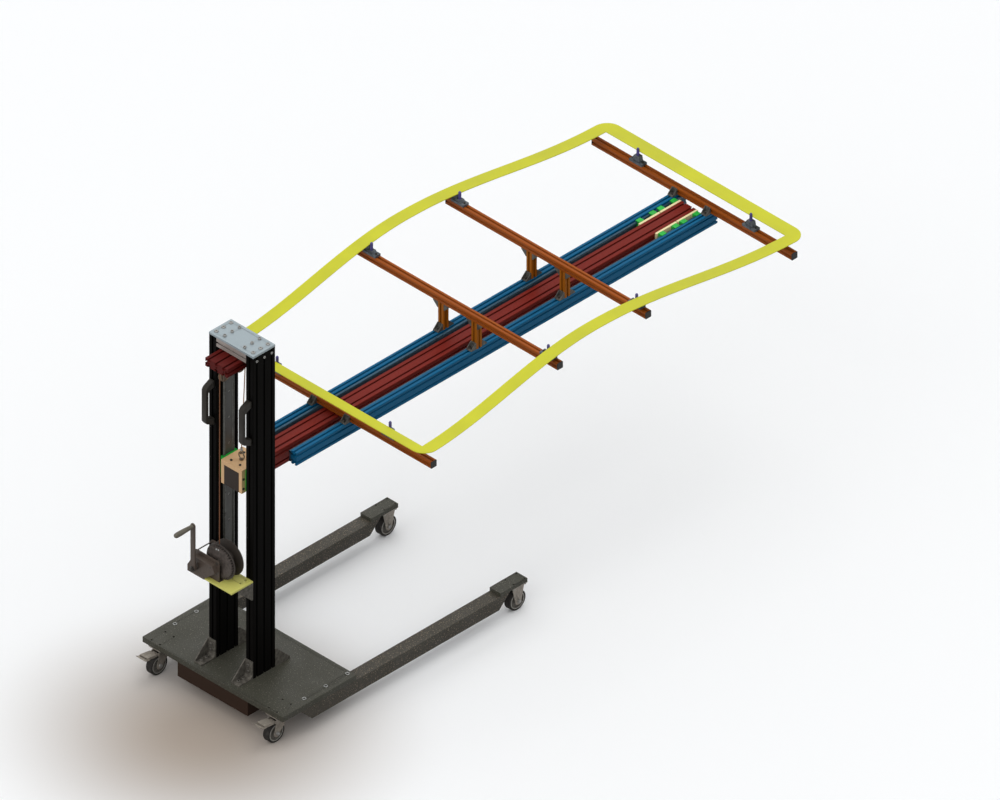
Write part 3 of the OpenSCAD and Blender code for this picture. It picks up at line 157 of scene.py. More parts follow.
class Graph:
    """A short way to write the nodes of one material.

    Attributes:
        spread: The grey values between which most of a noise pattern lies.
    """

    spread: tuple[float, float] = (0.3, 0.7)

    def __init__(self, name: str) -> None:
        """Starts a material with a Principled shader.

        Args:
            name: The material's name.
        """
        self.material = bpy.data.materials.new(name)
        self.material.use_nodes = True
        self.tree = self.material.node_tree
        self.tree.nodes.clear()
        self.output = self.node("OutputMaterial")
        self.shader = self.node("BsdfPrincipled")
        self.link(self.shader.outputs[0], self.output.inputs["Surface"])

    def node(self, kind: str, **settings: str) -> bpy.types.Node:
        """Adds a node.

        Args:
            kind: Its type, without the common first words.
            **settings: Its options.

        Returns:
            The node.
        """
        node = self.tree.nodes.new(f"ShaderNode{kind}")
        for key, value in settings.items():
            setattr(node, key, value)
        return node

    def link(self, source: Socket, target: Socket) -> None:
        """Links an output to an input."""
        self.tree.links.new(source, target)

    def value(self, socket: str, value: float) -> None:
        """Sets a constant on the shader's own socket."""
        self.shader.inputs[socket].default_value = value

    def feed(self, socket: str, source: Socket) -> None:
        """Links a node's output to the shader."""
        self.link(source, self.shader.inputs[socket])

    def place(self, stretch: Rgb = (1.0, 1.0, 1.0)) -> Socket:
        """Object coordinates, stretched along each axis.

        Args:
            stretch: The scale of the pattern along X, Y and Z.

        Returns:
            The mapped coordinates.
        """
        mapping = self.node("Mapping")
        mapping.inputs["Scale"].default_value = stretch
        self.link(self.node("TexCoord").outputs["Object"], mapping.inputs["Vector"])
        return mapping.outputs[0]

    def noise(self, place: Socket, cells: float, detail: float) -> Socket:
        """A noise pattern.

        Args:
            place: Coordinates in metres.
            cells: Cells in a metre.
            detail: Octaves of finer noise.

        Returns:
            The pattern's grey value.
        """
        node = self.node("TexNoise")
        node.inputs["Scale"].default_value = cells
        node.inputs["Detail"].default_value = detail
        self.link(place, node.inputs["Vector"])
        return node.outputs[0]

    def ramp(self, source: Socket, low: float, high: float, first: Rgb, last: Rgb) -> Socket:
        """Maps a grey value to a colour between two colours.

        Args:
            source: The grey value.
            low: The value that gives the first colour.
            high: The value that gives the last colour.
            first: The first colour.
            last: The last colour.

        Returns:
            The colour.
        """
        node = self.node("ValToRGB")
        for element, spot, colour in zip(node.color_ramp.elements, (low, high), (first, last)):
            element.position = spot
            element.color = (*colour, 1.0)
        self.link(source, node.inputs[0])
        return node.outputs[0]

    def mottle(
        self, source: Socket, colour: Rgb, dark: float, light: float, low: float, high: float
    ) -> Socket:
        """A colour that runs from a darker to a lighter shade of itself.

        Args:
            source: The grey value that it follows.
            colour: The colour.
            dark: Factor of the darker shade.
            light: Factor of the lighter shade.
            low: The value that gives the darker shade.
            high: The value that gives the lighter shade.

        Returns:
            The colour.
        """
        return self.ramp(source, low, high, shade(colour, dark), shade(colour, light))

    def mask(self, source: Socket, low: float, high: float, most: float = 1.0) -> Socket:
        """A share that rises with a grey value, from nought to its most.

        Args:
            source: The grey value.
            low: The value where the share starts to rise.
            high: The value where it has its most.
            most: The most that it reaches.

        Returns:
            The share.
        """
        return self.ramp(source, low, high, (0.0, 0.0, 0.0), (most, most, most))

    def blend(self, share: Socket, base: Socket, over: Rgb) -> None:
        """Colours the surface with one colour, and lays a plain one over it by a share.

        Args:
            share: How much of the upper colour shows.
            base: The colour below.
            over: The colour above.
        """
        node = self.node("Mix", data_type="RGBA")
        fraction, below, above = (node.inputs[number] for number in (0, 6, 7))
        self.link(share, fraction)
        self.link(base, below)
        above.default_value = (*over, 1.0)
        self.feed("Base Color", node.outputs[2])

    def rough(self, source: Socket, roughness: float, less: float, more: float) -> None:
        """Varies the roughness about a value.

        Args:
            source: A grey value around one half.
            roughness: The roughness to vary.
            less: How much it falls where the grey value is low.
            more: How much it rises where the grey value is high.
        """
        node = self.node("MapRange")
        node.inputs["From Min"].default_value, node.inputs["From Max"].default_value = self.spread
        node.inputs["To Min"].default_value = roughness - less
        node.inputs["To Max"].default_value = roughness + more
        self.link(source, node.inputs["Value"])
        self.feed("Roughness", node.outputs[0])

    def bump(self, source: Socket, strength: float, depth: float) -> None:
        """Raises the surface by a grey value.

        Args:
            source: The height.
            strength: How much of it shows.
            depth: The height of white above black, in millimetres.
        """
        node = self.node("Bump")
        node.inputs["Strength"].default_value = strength
        node.inputs["Distance"].default_value = depth * MM
        self.link(source, node.inputs["Height"])
        self.feed("Normal", node.outputs[0])


@dataclass(frozen=True)
class Finish:
    """What every finish has.

    Attributes:
        name: The material's name.
        colour: Its linear colour.
        roughness: How rough it is.
        gleam: How much a bare surface reflects.
    """

    name: str
    colour: Rgb
    roughness: float
    gleam: float = field(default=0.25, kw_only=True)

    def material(self) -> bpy.types.Material:
        """The finish as a material, made the first time it is asked for."""
        return bpy.data.materials.get(self.name) or self.make()

    def make(self) -> bpy.types.Material:
        """Builds the material."""
        graph = Graph(self.name)
        self.surface(graph)
        graph.value("Specular IOR Level", self.gleam)
        return graph.material

    def surface(self, graph: Graph) -> None:
        """Adds this finish's nodes."""
        raise NotImplementedError


@dataclass(frozen=True)
class PowderCoat(Finish):
    """Baked powder paint with an orange-peel surface and mixed-in light grains.

    Attributes:
        grain: Colour of the grains.
        amount: Where the grains start; a higher value leaves fewer.
    """

    grain: Rgb = (0.2, 0.2, 0.18)
    amount: float = 0.62

    def surface(self, graph: Graph) -> None:
        """Adds this finish's nodes."""
        place = graph.place()
        cloud = graph.noise(place, cells=9.0, detail=4.0)
        fine = graph.noise(place, cells=340.0, detail=2.0)
        colour = graph.mottle(fine, self.colour, dark=0.62, light=1.34, low=0.36, high=0.66)
        grains = graph.noise(place, cells=190.0, detail=1.0)
        graph.blend(graph.mask(grains, self.amount, self.amount + 0.04), colour, self.grain)
        graph.rough(cloud, self.roughness, less=0.08, more=0.1)
        graph.bump(fine, strength=0.3, depth=0.4)


@dataclass(frozen=True)
class Anodised(Finish):
    """Anodised aluminium with the fine lines that the drawing die leaves along the profile.

    Attributes:
        along: The direction of the lines.
        metal: How metallic it is.
        lines: How much darker and lighter the lines are.
    """

    along: Along = Along.Y
    metal: float = 0.55
    lines: float = 0.16

    def surface(self, graph: Graph) -> None:
        """Adds this finish's nodes."""
        stretch = [420.0, 420.0, 420.0]
        stretch[self.along.value] = 2.5
        drawn = graph.noise(graph.place(tuple(stretch)), cells=1.0, detail=3.0)
        cloud = graph.noise(graph.place(), cells=14.0, detail=3.0)
        colour = graph.mottle(
            drawn, self.colour, dark=1 - self.lines, light=1 + self.lines, low=0.32, high=0.68
        )
        stain = graph.mask(cloud, low=0.55, high=0.8, most=0.35)
        graph.blend(stain, colour, shade(self.colour, 0.75))
        graph.rough(drawn, self.roughness, less=0.06, more=0.08)
        graph.bump(drawn, strength=0.12, depth=0.15)
        graph.value("Metallic", self.metal)


@dataclass(frozen=True)
class Cast(Finish):
    """A die-cast surface: sandy skin, darker hollows and lighter rubbed spots.

    Attributes:
        metal: How metallic it is.
    """

    metal: float = 0.35

    def surface(self, graph: Graph) -> None:
        """Adds this finish's nodes."""
        place = graph.place()
        blotch = graph.noise(place, cells=75.0, detail=4.0)
        sand = graph.noise(place, cells=900.0, detail=2.0)
        colour = graph.mottle(blotch, self.colour, dark=0.6, light=1.35, low=0.34, high=0.68)
        graph.feed("Base Color", colour)
        graph.rough(blotch, self.roughness, less=0.08, more=0.08)
        graph.bump(sand, strength=0.45, depth=0.3)
        graph.value("Metallic", self.metal)


@dataclass(frozen=True)
class Plated(Finish):
    """Zinc or nickel plate with soft spangle and handling marks.

    Attributes:
        metal: How metallic it is.
    """

    metal: float = 0.85

    def surface(self, graph: Graph) -> None:
        """Adds this finish's nodes."""
        place = graph.place()
        spangle = graph.noise(place, cells=120.0, detail=3.0)
        marks = graph.noise(place, cells=26.0, detail=5.0)
        colour = graph.mottle(spangle, self.colour, dark=0.82, light=1.14, low=0.35, high=0.65)
        dull = graph.mask(marks, low=0.56, high=0.72, most=0.5)
        graph.blend(dull, colour, shade(self.colour, 0.55))
        graph.rough(marks, self.roughness, less=0.08, more=0.14)
        graph.bump(spangle, strength=0.08, depth=0.2)
        graph.value("Metallic", self.metal)


@dataclass(frozen=True)
class Paint(Finish):
    """Sprayed paint: even colour, faint cloudiness, a thin coat and small scuffs.

    Attributes:
        coat: How much clear gloss lies over it.
        scuff: How much the scuffs show.
    """

    coat: float = 0.25
    scuff: float = 0.3

    def surface(self, graph: Graph) -> None:
        """Adds this finish's nodes."""
        place = graph.place()
        cloud = graph.noise(place, cells=6.0, detail=4.0)
        peel = graph.noise(place, cells=520.0, detail=1.0)
        colour = graph.mottle(cloud, self.colour, dark=0.92, light=1.06, low=0.3, high=0.7)
        scuffs = graph.noise(place, cells=48.0, detail=6.0)
        worn = graph.mask(scuffs, low=0.66, high=0.74, most=self.scuff)
        graph.blend(worn, colour, shade(self.colour, 0.7))
        graph.rough(cloud, self.roughness, less=0.05, more=0.08)
        graph.bump(peel, strength=0.1, depth=0.2)
        graph.value("Coat Weight", self.coat)
        graph.value("Coat Roughness", 0.3)


@dataclass(frozen=True)
class Moulded(Finish):
    """Moulded plastic with a fine leathery texture.

    Attributes:
        texture: How much of the texture shows.
    """

    texture: float = 0.25

    def surface(self, graph: Graph) -> None:
        """Adds this finish's nodes."""
        place = graph.place()
        fine = graph.noise(place, cells=700.0, detail=2.0)
        cloud = graph.noise(place, cells=30.0, detail=3.0)
        colour = graph.mottle(cloud, self.colour, dark=0.85, light=1.18, low=0.35, high=0.7)
        graph.feed("Base Color", colour)
        graph.rough(cloud, self.roughness, less=0.06, more=0.08)
        graph.bump(fine, strength=self.texture, depth=0.2)


@dataclass(frozen=True)
class Rubber(Finish):
    """Wheel rubber with grey dust worked into it.

    Attributes:
        dust: Colour of the dust.
    """

    dust: Rgb = (0.09, 0.085, 0.075)

    def surface(self, graph: Graph) -> None:
        """Adds this finish's nodes."""
        place = graph.place()
        dirt = graph.noise(place, cells=60.0, detail=6.0)
        pores = graph.noise(place, cells=1400.0, detail=2.0)
        colour = graph.mottle(pores, self.colour, dark=0.8, light=1.25, low=0.3, high=0.7)
        graph.blend(graph.mask(dirt, low=0.48, high=0.75, most=0.45), colour, self.dust)
        graph.rough(dirt, self.roughness, less=0.06, more=0.06)
        graph.bump(pores, strength=0.35, depth=0.3)


@dataclass(frozen=True)
class Rope(Finish):
    """Wire rope: the strands are in the mesh, and the wires in them cross the strands.

    Attributes:
        metal: How metallic it is.
    """

    metal: float = 0.4

    def surface(self, graph: Graph) -> None:
        """Adds this finish's nodes."""
        wires = graph.noise(graph.place((1900.0, 1900.0, 700.0)), cells=1.0, detail=1.0)
        grease_and_shade = graph.noise(graph.place(), cells=40.0, detail=4.0)
        colour = graph.mottle(wires, self.colour, dark=0.6, light=1.4, low=0.35, high=0.65)
        share = graph.mask(grease_and_shade, low=0.5, high=0.75, most=0.4)
        graph.blend(share, colour, shade(self.colour, 0.4))
        graph.rough(grease_and_shade, self.roughness, less=0.05, more=0.1)
        graph.bump(wires, strength=0.5, depth=0.2)
        graph.value("Metallic", self.metal)


class Finishes:
    """Every finish on the cart: its name, colour and roughness, and what sets it apart."""

    plate = PowderCoat(
        "powder_plate", screen(64, 63, 54), 0.5, grain=(0.16, 0.15, 0.12), amount=0.66
    )
    leg = PowderCoat("powder_leg", screen(66, 62, 54), 0.52, grain=(0.24, 0.19, 0.13), amount=0.64)
    ballast = Paint("ballast_paint", screen(50, 36, 28), 0.6, coat=0.0, gleam=0.1)
    post = Anodised(
        "anodised_post", screen(11, 10, 9), 0.55, Along.Z, metal=0.0, lines=0.3, gleam=0.02
    )
    gusset = Cast("cast_gusset", screen(94, 90, 83), 0.55, metal=0.15, gleam=0.15)
    small_gusset = Cast("cast_small_gusset", screen(88, 86, 81), 0.55, metal=0.15)
    stop = Cast("cast_stop", screen(88, 93, 98), 0.5, metal=0.15)
    top_plate = Anodised(
        "milled_plate", screen(156, 168, 173), 0.42, Along.X, metal=0.1, lines=0.04, gleam=0.4
    )
    top_beam = Anodised("anodised_top_beam", screen(160, 151, 145), 0.45, Along.X, metal=0.15)
    # Same red as the boom, darkened as painted shade from the top plate over the beam.
    pulley_beam = Anodised(
        "anodised_pulley_beam", screen(84, 18, 14), 0.45, Along.Y, metal=0.05, gleam=0.08
    )
    boom = Anodised("anodised_boom", screen(116, 32, 23), 0.45, Along.Y, metal=0.1, gleam=0.1)
    beam = Anodised("anodised_beam", screen(6, 92, 132), 0.42, Along.Y, metal=0.1, gleam=0.1)
    bar = Anodised("anodised_bar", screen(154, 77, 18), 0.42, Along.X, metal=0.1, gleam=0.12)
    bar_post = Anodised(
        "anodised_bar_post", screen(160, 92, 20), 0.5, Along.Z, metal=0.1, gleam=0.08
    )
    rail = Anodised("anodised_rail", screen(88, 88, 85), 0.36, Along.Z, metal=0.2, gleam=0.2)
    # Grey anodised rail, tinted dark navy as painted shade and a painted reflection of the blue
    # beams.
    beam_rail = Anodised(
        "anodised_beam_rail", screen(46, 72, 88), 0.4, Along.Y, metal=0.15, gleam=0.2
    )
    rod = Plated("ground_steel", screen(92, 92, 88), 0.32, metal=0.3)
    # Ground steel rods, tinted dark blue as a painted reflection of the blue beams.
    beam_rod = Plated("ground_steel_blue", screen(52, 82, 100), 0.32, metal=0.3)
    cream = Anodised(
        "anodised_cream", screen(240, 222, 172), 0.42, Along.Y, metal=0.0, lines=0.05
    )
    winch = Paint("winch_paint", screen(82, 71, 63), 0.45, coat=0.05, gleam=0.2)
    winch_dark = Paint("winch_dark_paint", screen(68, 62, 57), 0.45, coat=0.05, gleam=0.2)
    gear = Cast("gear_steel", screen(80, 72, 67), 0.45, metal=0.2)
    shelf = Paint("shelf_paint", screen(214, 209, 112), 0.42, coat=0.1)
    strip = Paint("strip_paint", screen(202, 202, 44), 0.45, coat=0.0, scuff=0.1)
    tan = Paint("tan_paint", screen(230, 188, 140), 0.5, coat=0.05)
    black_panel = Paint("panel_paint", screen(46, 37, 31), 0.5, coat=0.0, gleam=0.15)
    bracket = Paint("bracket_paint", screen(120, 105, 92), 0.5, coat=0.05)
    sheave = Plated("sheave_steel", screen(132, 112, 94), 0.4, metal=0.4)
    zinc = Plated("zinc_pressing", screen(150, 142, 132), 0.42, metal=0.4)
    bright = Plated("bright_zinc", screen(190, 192, 190), 0.3, metal=0.6)
    dull = Plated("dull_zinc", screen(150, 149, 146), 0.4, metal=0.4)
    dark_screw = Plated("black_oxide", screen(62, 58, 54), 0.4, metal=0.3)
    cap_steel = Plated("cap_steel", screen(98, 94, 88), 0.4, metal=0.2)
    # A near-black finish that paints shade: socket floors, hole rims, screw ends in holes, the
    # gear's gap.
    socket = Moulded("socket_shadow", screen(26, 25, 24), 0.7, texture=0.1)
    # One zinc in two copies: darker in the rim's web as painted shade, lighter on its lips as a
    # painted highlight.
    rim = Plated("rim_zinc", screen(110, 106, 100), 0.5, metal=0.3)
    rim_lip = Plated("rim_lip_zinc", screen(168, 165, 158), 0.4, metal=0.3)
    pedal = Plated("pedal_zinc", screen(150, 142, 131), 0.45, metal=0.3)
    eye = Plated("eye_steel", screen(116, 102, 84), 0.35, metal=0.6)
    handle = Moulded("handle_plastic", screen(46, 43, 39), 0.5, gleam=0.15)
    grip = Moulded("grip_plastic", screen(104, 99, 88), 0.55)
    cap = Moulded("cap_plastic", screen(36, 35, 34), 0.55)
    green = Moulded("slide_plastic", screen(36, 176, 62), 0.4, texture=0.12)
    purple = Moulded("pin_plastic", screen(78, 72, 128), 0.4, texture=0.12)
    tyre = Rubber("tyre_rubber", screen(38, 35, 33), 0.78)
    rope = Rope("rope_brown", screen(122, 78, 50), 0.5, metal=0.2)
    rope_light = Rope("rope_tan", screen(176, 134, 100), 0.5, metal=0.2)


def clear_selection() -> None:
    """Leaves every object unselected, in object mode."""
    if bpy.context.mode != "OBJECT":
        bpy.ops.object.mode_set(mode="OBJECT")
    bpy.ops.object.select_all(action="DESELECT")


def activate(piece: Piece) -> None:
    """Makes a piece the only selected one, and active."""
    clear_selection()
    piece.select_set(True)
    bpy.context.view_layer.objects.active = piece


@contextmanager
def editing(piece: Piece) -> Iterator[None]:
    """Edit mode on one piece, in face mode with everything selected.

    Args:
        piece: The mesh object to edit.

    Yields:
        Nothing; leaves edit mode at the end.
    """
    activate(piece)
    bpy.ops.object.mode_set(mode="EDIT")
    bpy.ops.mesh.select_mode(type="FACE")
    bpy.ops.mesh.select_all(action="SELECT")
    yield
    bpy.ops.object.mode_set(mode="OBJECT")


def pick(piece: Piece, kind: Pick, wanted: Callable[..., bool]) -> None:
    """Selects only the faces or edges that pass a test, in edit mode.

    Args:
        piece: The mesh object in edit mode.
        kind: What to select.
        wanted: The test on a face or an edge.
    """
    bpy.ops.mesh.select_mode(type=kind.name)
    bpy.ops.mesh.select_all(action="DESELECT")
    mesh = bmesh.from_edit_mesh(piece.data)
    chosen = [part for part in getattr(mesh, kind.value) if wanted(part)]
    for part in chosen:
        part.select_set(True)
    bmesh.update_edit_mesh(piece.data)


def fresh(name: str) -> Piece:
    """Names the primitive that was just added and clears its place into its mesh."""
    piece = bpy.context.object
    piece.name = name
    piece.data.name = name
    activate(piece)
    bpy.ops.object.transform_apply(location=True, rotation=True, scale=True)
    return piece


def tidy_normals(piece: Piece) -> None:
    """Merges doubled points and turns every face outwards."""
    with editing(piece):
        bpy.ops.mesh.remove_doubles(threshold=WELD / 2)
        bpy.ops.mesh.normals_make_consistent(inside=False)


def turned(name: str, profile: Sequence[tuple[float, float]], sides: int = 32) -> Piece:
    """A piece turned about the Z axis: a disc that is drawn out and widened step by step.

    Args:
        name: The piece's name.
        profile: Height and radius of each step, in millimetres.
        sides: Sides of the circle.

    Returns:
        The closed piece.
    """
    clear_selection()
    height, radius = profile[0]
    bpy.ops.mesh.primitive_circle_add(
        vertices=sides, radius=radius * MM, fill_type="NGON", location=(0, 0, height * MM)
    )
    piece = fresh(name)
    with editing(piece):
        for next_height, next_radius in profile[1:]:
            rise = (next_height - height) * MM
            bpy.ops.mesh.extrude_region_move(TRANSFORM_OT_translate={"value": (0, 0, rise)})
            if next_radius != radius:
                share = next_radius / radius
                centre = (0, 0, next_height * MM)
                bpy.ops.transform.resize(value=(share, share, 1), center_override=centre)
            height, radius = next_height, next_radius
    tidy_normals(piece)
    return piece


def ring(
    name: str, width: float, thickness: float, radius: float, bevel: float, steps: int = 72
) -> Piece:
    """A ring about the Z axis: a rectangle with rounded corners, spun round the axis.

    Args:
        name: The piece's name.
        width: Size along the axis, in millimetres.
        thickness: Radial size, in millimetres.
        radius: Outer radius, in millimetres.
        bevel: Radius of the section's corners, in millimetres.
        steps: Steps of the spin.

    Returns:
        The closed ring.
    """
    clear_selection()
    bpy.ops.mesh.primitive_plane_add(size=1, rotation=(math.pi / 2, 0, 0))
    piece = bpy.context.object
    piece.scale = (thickness * MM, width * MM, 1)
    piece.location = ((radius - thickness / 2) * MM, 0, 0)
    piece = fresh(name)
    with editing(piece):
        bpy.ops.mesh.select_mode(type="VERT")
        bpy.ops.mesh.select_all(action="SELECT")
        bpy.ops.mesh.bevel(offset=bevel * MM, segments=4, affect="VERTICES")
        bpy.ops.mesh.select_all(action="SELECT")
        bpy.ops.mesh.delete(type="ONLY_FACE")
        bpy.ops.mesh.select_mode(type="EDGE")
        bpy.ops.mesh.select_all(action="SELECT")
        bpy.ops.mesh.spin(steps=steps, angle=2 * math.pi, center=(0, 0, 0), axis=(0, 0, 1))
    tidy_normals(piece)
    return piece


def standing_cylinder(name: str, sides: int, radius: float, height: float) -> Piece:
    """A cylinder on z = 0 to shape a head or a nut from.

    Args:
        name: The piece's name.
        sides: Sides of the circle.
        radius: Its radius, in millimetres.
        height: Its height, in millimetres.

    Returns:
        The cylinder.
    """
    clear_selection()
    bpy.ops.mesh.primitive_cylinder_add(
        vertices=sides, radius=radius * MM, depth=height * MM, location=(0, 0, height * MM / 2)
    )
    return fresh(name)


@dataclass(frozen=True)
class Head:
    """One kind of screw head, with a hexagon socket in its top.

    Attributes:
        radius: Radius of the head, in millimetres.
        height: Height of the head, in millimetres.
        crown: Width of the rounded edge, as a share of the radius.
        key: Radius of the socket, as a share of the radius.
        depth: Depth of the socket, as a share of the height.
    """

    radius: float
    height: float
    crown: float = 0.1
    key: float = 0.5
    depth: float = 0.55

    def build(self, name: str) -> Piece:
        """Models the head on z = 0, with its axis along Z.

        Args:
            name: The piece's name.

        Returns:
            The head.
        """
        piece = standing_cylinder(name, 24, self.radius, self.height)
        top = self.height * MM
        under_top = top * 0.99
        segments = 2 if self.crown < 0.2 else 5
        with editing(piece):
            pick(piece, Pick.EDGE, lambda edge: all(v.co.z > under_top for v in edge.verts))
            bpy.ops.mesh.bevel(
                offset=self.radius * self.crown * MM, segments=segments, affect="EDGES"
            )
            pick(piece, Pick.FACE, lambda face: face.normal.z > 0.99
                 and face.calc_center_median().z > under_top)
            bpy.ops.mesh.inset(thickness=self.radius * (1 - self.crown - self.key) / 2 * MM)
            bpy.ops.mesh.delete(type="FACE")
            bpy.ops.mesh.select_mode(type="EDGE")
            bpy.ops.mesh.primitive_circle_add(
                vertices=6, radius=self.radius * self.key * MM, location=(0, 0, top)
            )
            pick(piece, Pick.EDGE, lambda edge: edge.is_boundary or edge.is_wire)
            bpy.ops.mesh.bridge_edge_loops()
            pick(piece, Pick.EDGE, lambda edge: edge.is_boundary)
            sink = (0, 0, -self.height * self.depth * MM)
            bpy.ops.mesh.extrude_edges_move(TRANSFORM_OT_translate={"value": sink})
            bpy.ops.mesh.edge_face_add()
        tidy_normals(piece)
        return piece


class Heads:
    """Every kind of screw head on the cart."""

    button = Head(8.75, 5.0, crown=0.42, key=0.36)
    cap = Head(6.5, 8.0)
    flank = Head(5.5, 2.5)
    caster = Head(6.5, 5.0)
    leg = Head(6.2, 1.9, crown=0.14, key=0.48)
    rail = Head(4.9, 4.2)
    bracket = Head(5.0, 4.5)
    clamp = Head(3.4, 2.6)
    carriage = Head(5.0, 3.6)
    slide = Head(4.2, 2.8)
    gusset = Head(4.2, 4.0)
    stop = Head(4.6, 4.2)


def hexagon_nut(name: str, width: float, height: float, bore: float) -> Piece:
    """A hexagon nut with a bevelled top and the bolt's end standing in it.

    Args:
        name: The piece's name.
        width: Size across the corners, in millimetres.
        height: Height of the nut, in millimetres.
        bore: Radius of the bolt's end, in millimetres.

    Returns:
        The nut, with its axis along Z, standing on z = 0.
    """
    piece = standing_cylinder(name, 6, width / 2, height)
    with editing(piece):
        pick(piece, Pick.FACE, lambda face: face.normal.z > 0.99)
        bpy.ops.mesh.inset(thickness=width * 0.05 * MM)
        bpy.ops.transform.translate(value=(0, 0, height * 0.12 * MM))
    profile = [(0, bore), (height * 1.35, bore), (height * 1.5, bore * 0.8)]
    end = turned(f"{name}_end", profile, sides=16)
    return joined(name, [piece, end])


def copies(master: Piece, places: Iterable[Matrix]) -> list[Piece]:
    """Copies of a piece, each with its own mesh, and removes the piece itself.

    Args:
        master: The piece at the origin.
        places: Where each copy goes.

    Returns:
        The copies.
    """
    made = []
    for number, place in enumerate(places):
        piece = master.copy()
        piece.data = master.data.copy()
        piece.name = f"{master.name}_{number}"
        piece.data.transform(place)
        bpy.context.collection.objects.link(piece)
        made.append(piece)
    bpy.data.objects.remove(master)
    return made


def joined(name: str, pieces: Sequence[Piece]) -> Piece:
    """Several pieces as one object.

    Args:
        name: The new object's name.
        pieces: The pieces; the first one's mesh takes in the others.

    Returns:
        The joined object.
    """
    clear_selection()
    for piece in pieces:
        piece.select_set(True)
    whole = pieces[0]
    bpy.context.view_layer.objects.active = whole
    bpy.ops.object.join()
    whole.name = name
    whole.data.name = name
    return whole


def standing(point: Vector, along: Along = Along.Z, flip: bool = False) -> Matrix:
    """The matrix that stands a piece made along Z on a point.

    Args:
        point: The foot of the piece, in the frame's metres.
        along: The axis that the piece points along.
        flip: True to point the other way.

    Returns:
        The matrix.
    """
    over = Matrix.Rotation(math.pi, 4, "X") if flip else Matrix.Identity(4)
    return Matrix.Translation(point) @ along.turn() @ over


def outwards(side: Side, x: float, y: float, z: float) -> Matrix:
    """The matrix that stands a piece on a point in metres, so that it points to one side."""
    return standing(Vector((x, y, z)), Along.X, side is Side.LEFT)


def coat(piece: Piece, finish: Finish, slot: str, angle: float) -> None:
    """Smooths a new piece and gives it its finish.

    Args:
        piece: The finished mesh object.
        finish: Its finish.
        slot: The record's material slot; not used.
        angle: Edges sharper than this stay sharp, in degrees.
    """
    activate(piece)
    bpy.ops.object.shade_smooth_by_angle(angle=math.radians(angle))
    piece.data.materials.clear()
    piece.data.materials.append(finish.material())


def settle(piece: Piece, finish: Finish, body: str, slot: str, angle: float = 35.0) -> None:
    """Dresses a new piece and lets it ride on its body.

    Args:
        piece: The finished mesh object.
        finish: Its finish.
        body: The CAD body that carries it.
        slot: The record's material slot.
        angle: Edges sharper than this stay sharp, in degrees.
    """
    coat(piece, finish, slot, angle)
    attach(piece, body)
    log.info("%s rides on %s", piece.name, body)


def screws(name: str, head: Head, places: Iterable[Matrix], finish: Finish, body: str) -> None:
    """Models the same screw in several places, as one piece.

    Args:
        name: The piece's name.
        head: The kind of head.
        places: Where each stands.
        finish: Their finish.
        body: The CAD body that carries them.
    """
    settle(joined(name, copies(head.build(f"{name}_head"), places)), finish, body, "bolt")


def soft_edges(piece: Piece, edge: float, segments: int) -> bpy.types.Modifier:
    """Adds a modifier that rounds a piece's sharp edges.

    Args:
        piece: The mesh object.
        edge: Width of the rounded edges, in millimetres.
        segments: Faces across a rounded edge.

    Returns:
        The modifier.
    """
    soft = piece.modifiers.new("Soft edges", "BEVEL")
    soft.width = edge * MM
    soft.segments = segments
    soft.limit_method = "ANGLE"
    soft.angle_limit = math.radians(40)
    return soft


def dress(node: str, finish: Finish, edge: float = 0.0, segments: int = 2) -> None:
    """Gives a CAD node its finish and, if asked, softened edges.

    Args:
        node: The CAD node's name.
        finish: Its finish.
        edge: Width of the softened edges, in millimetres.
        segments: Faces across a softened edge.
    """
    piece = frame["nodes"][node]
    piece.data.materials.clear()
    piece.data.materials.append(finish.material())
    if edge > 0:
        weld = piece.modifiers.new("Weld", "WELD")
        weld.merge_threshold = WELD
        soft_edges(piece, edge, segments)
        flat = piece.modifiers.new("Flat faces", "WEIGHTED_NORMAL")
        flat.mode = "FACE_AREA"
        flat.weight = 100
        piece.data.shade_smooth()
    log.info("%s is dressed in %s", node, finish.name)


def softened_copy(node: str, name: str, edge: float, segments: int) -> Piece:
    """A merged copy of a CAD node with its edges rounded, to stand for the node.

    Args:
        node: The CAD node's name.
        name: The new piece's name.
        edge: Radius of the rounded edges, in millimetres.
        segments: Faces across a rounded edge.

    Returns:
        The new piece.
    """
    piece = bpy.data.objects.new(name, frame["nodes"][node].data.copy())
    bpy.context.collection.objects.link(piece)
    with editing(piece):
        bpy.ops.mesh.remove_doubles(threshold=WELD)
        bpy.ops.mesh.customdata_custom_splitnormals_clear()
        bpy.ops.mesh.tris_convert_to_quads(face_threshold=0.01, shape_threshold=3.1)
        bpy.ops.mesh.dissolve_limited(angle_limit=math.radians(1))
    soft = soft_edges(piece, edge, segments)
    activate(piece)
    bpy.ops.object.modifier_apply(modifier=soft.name)
    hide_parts(node)
    return piece


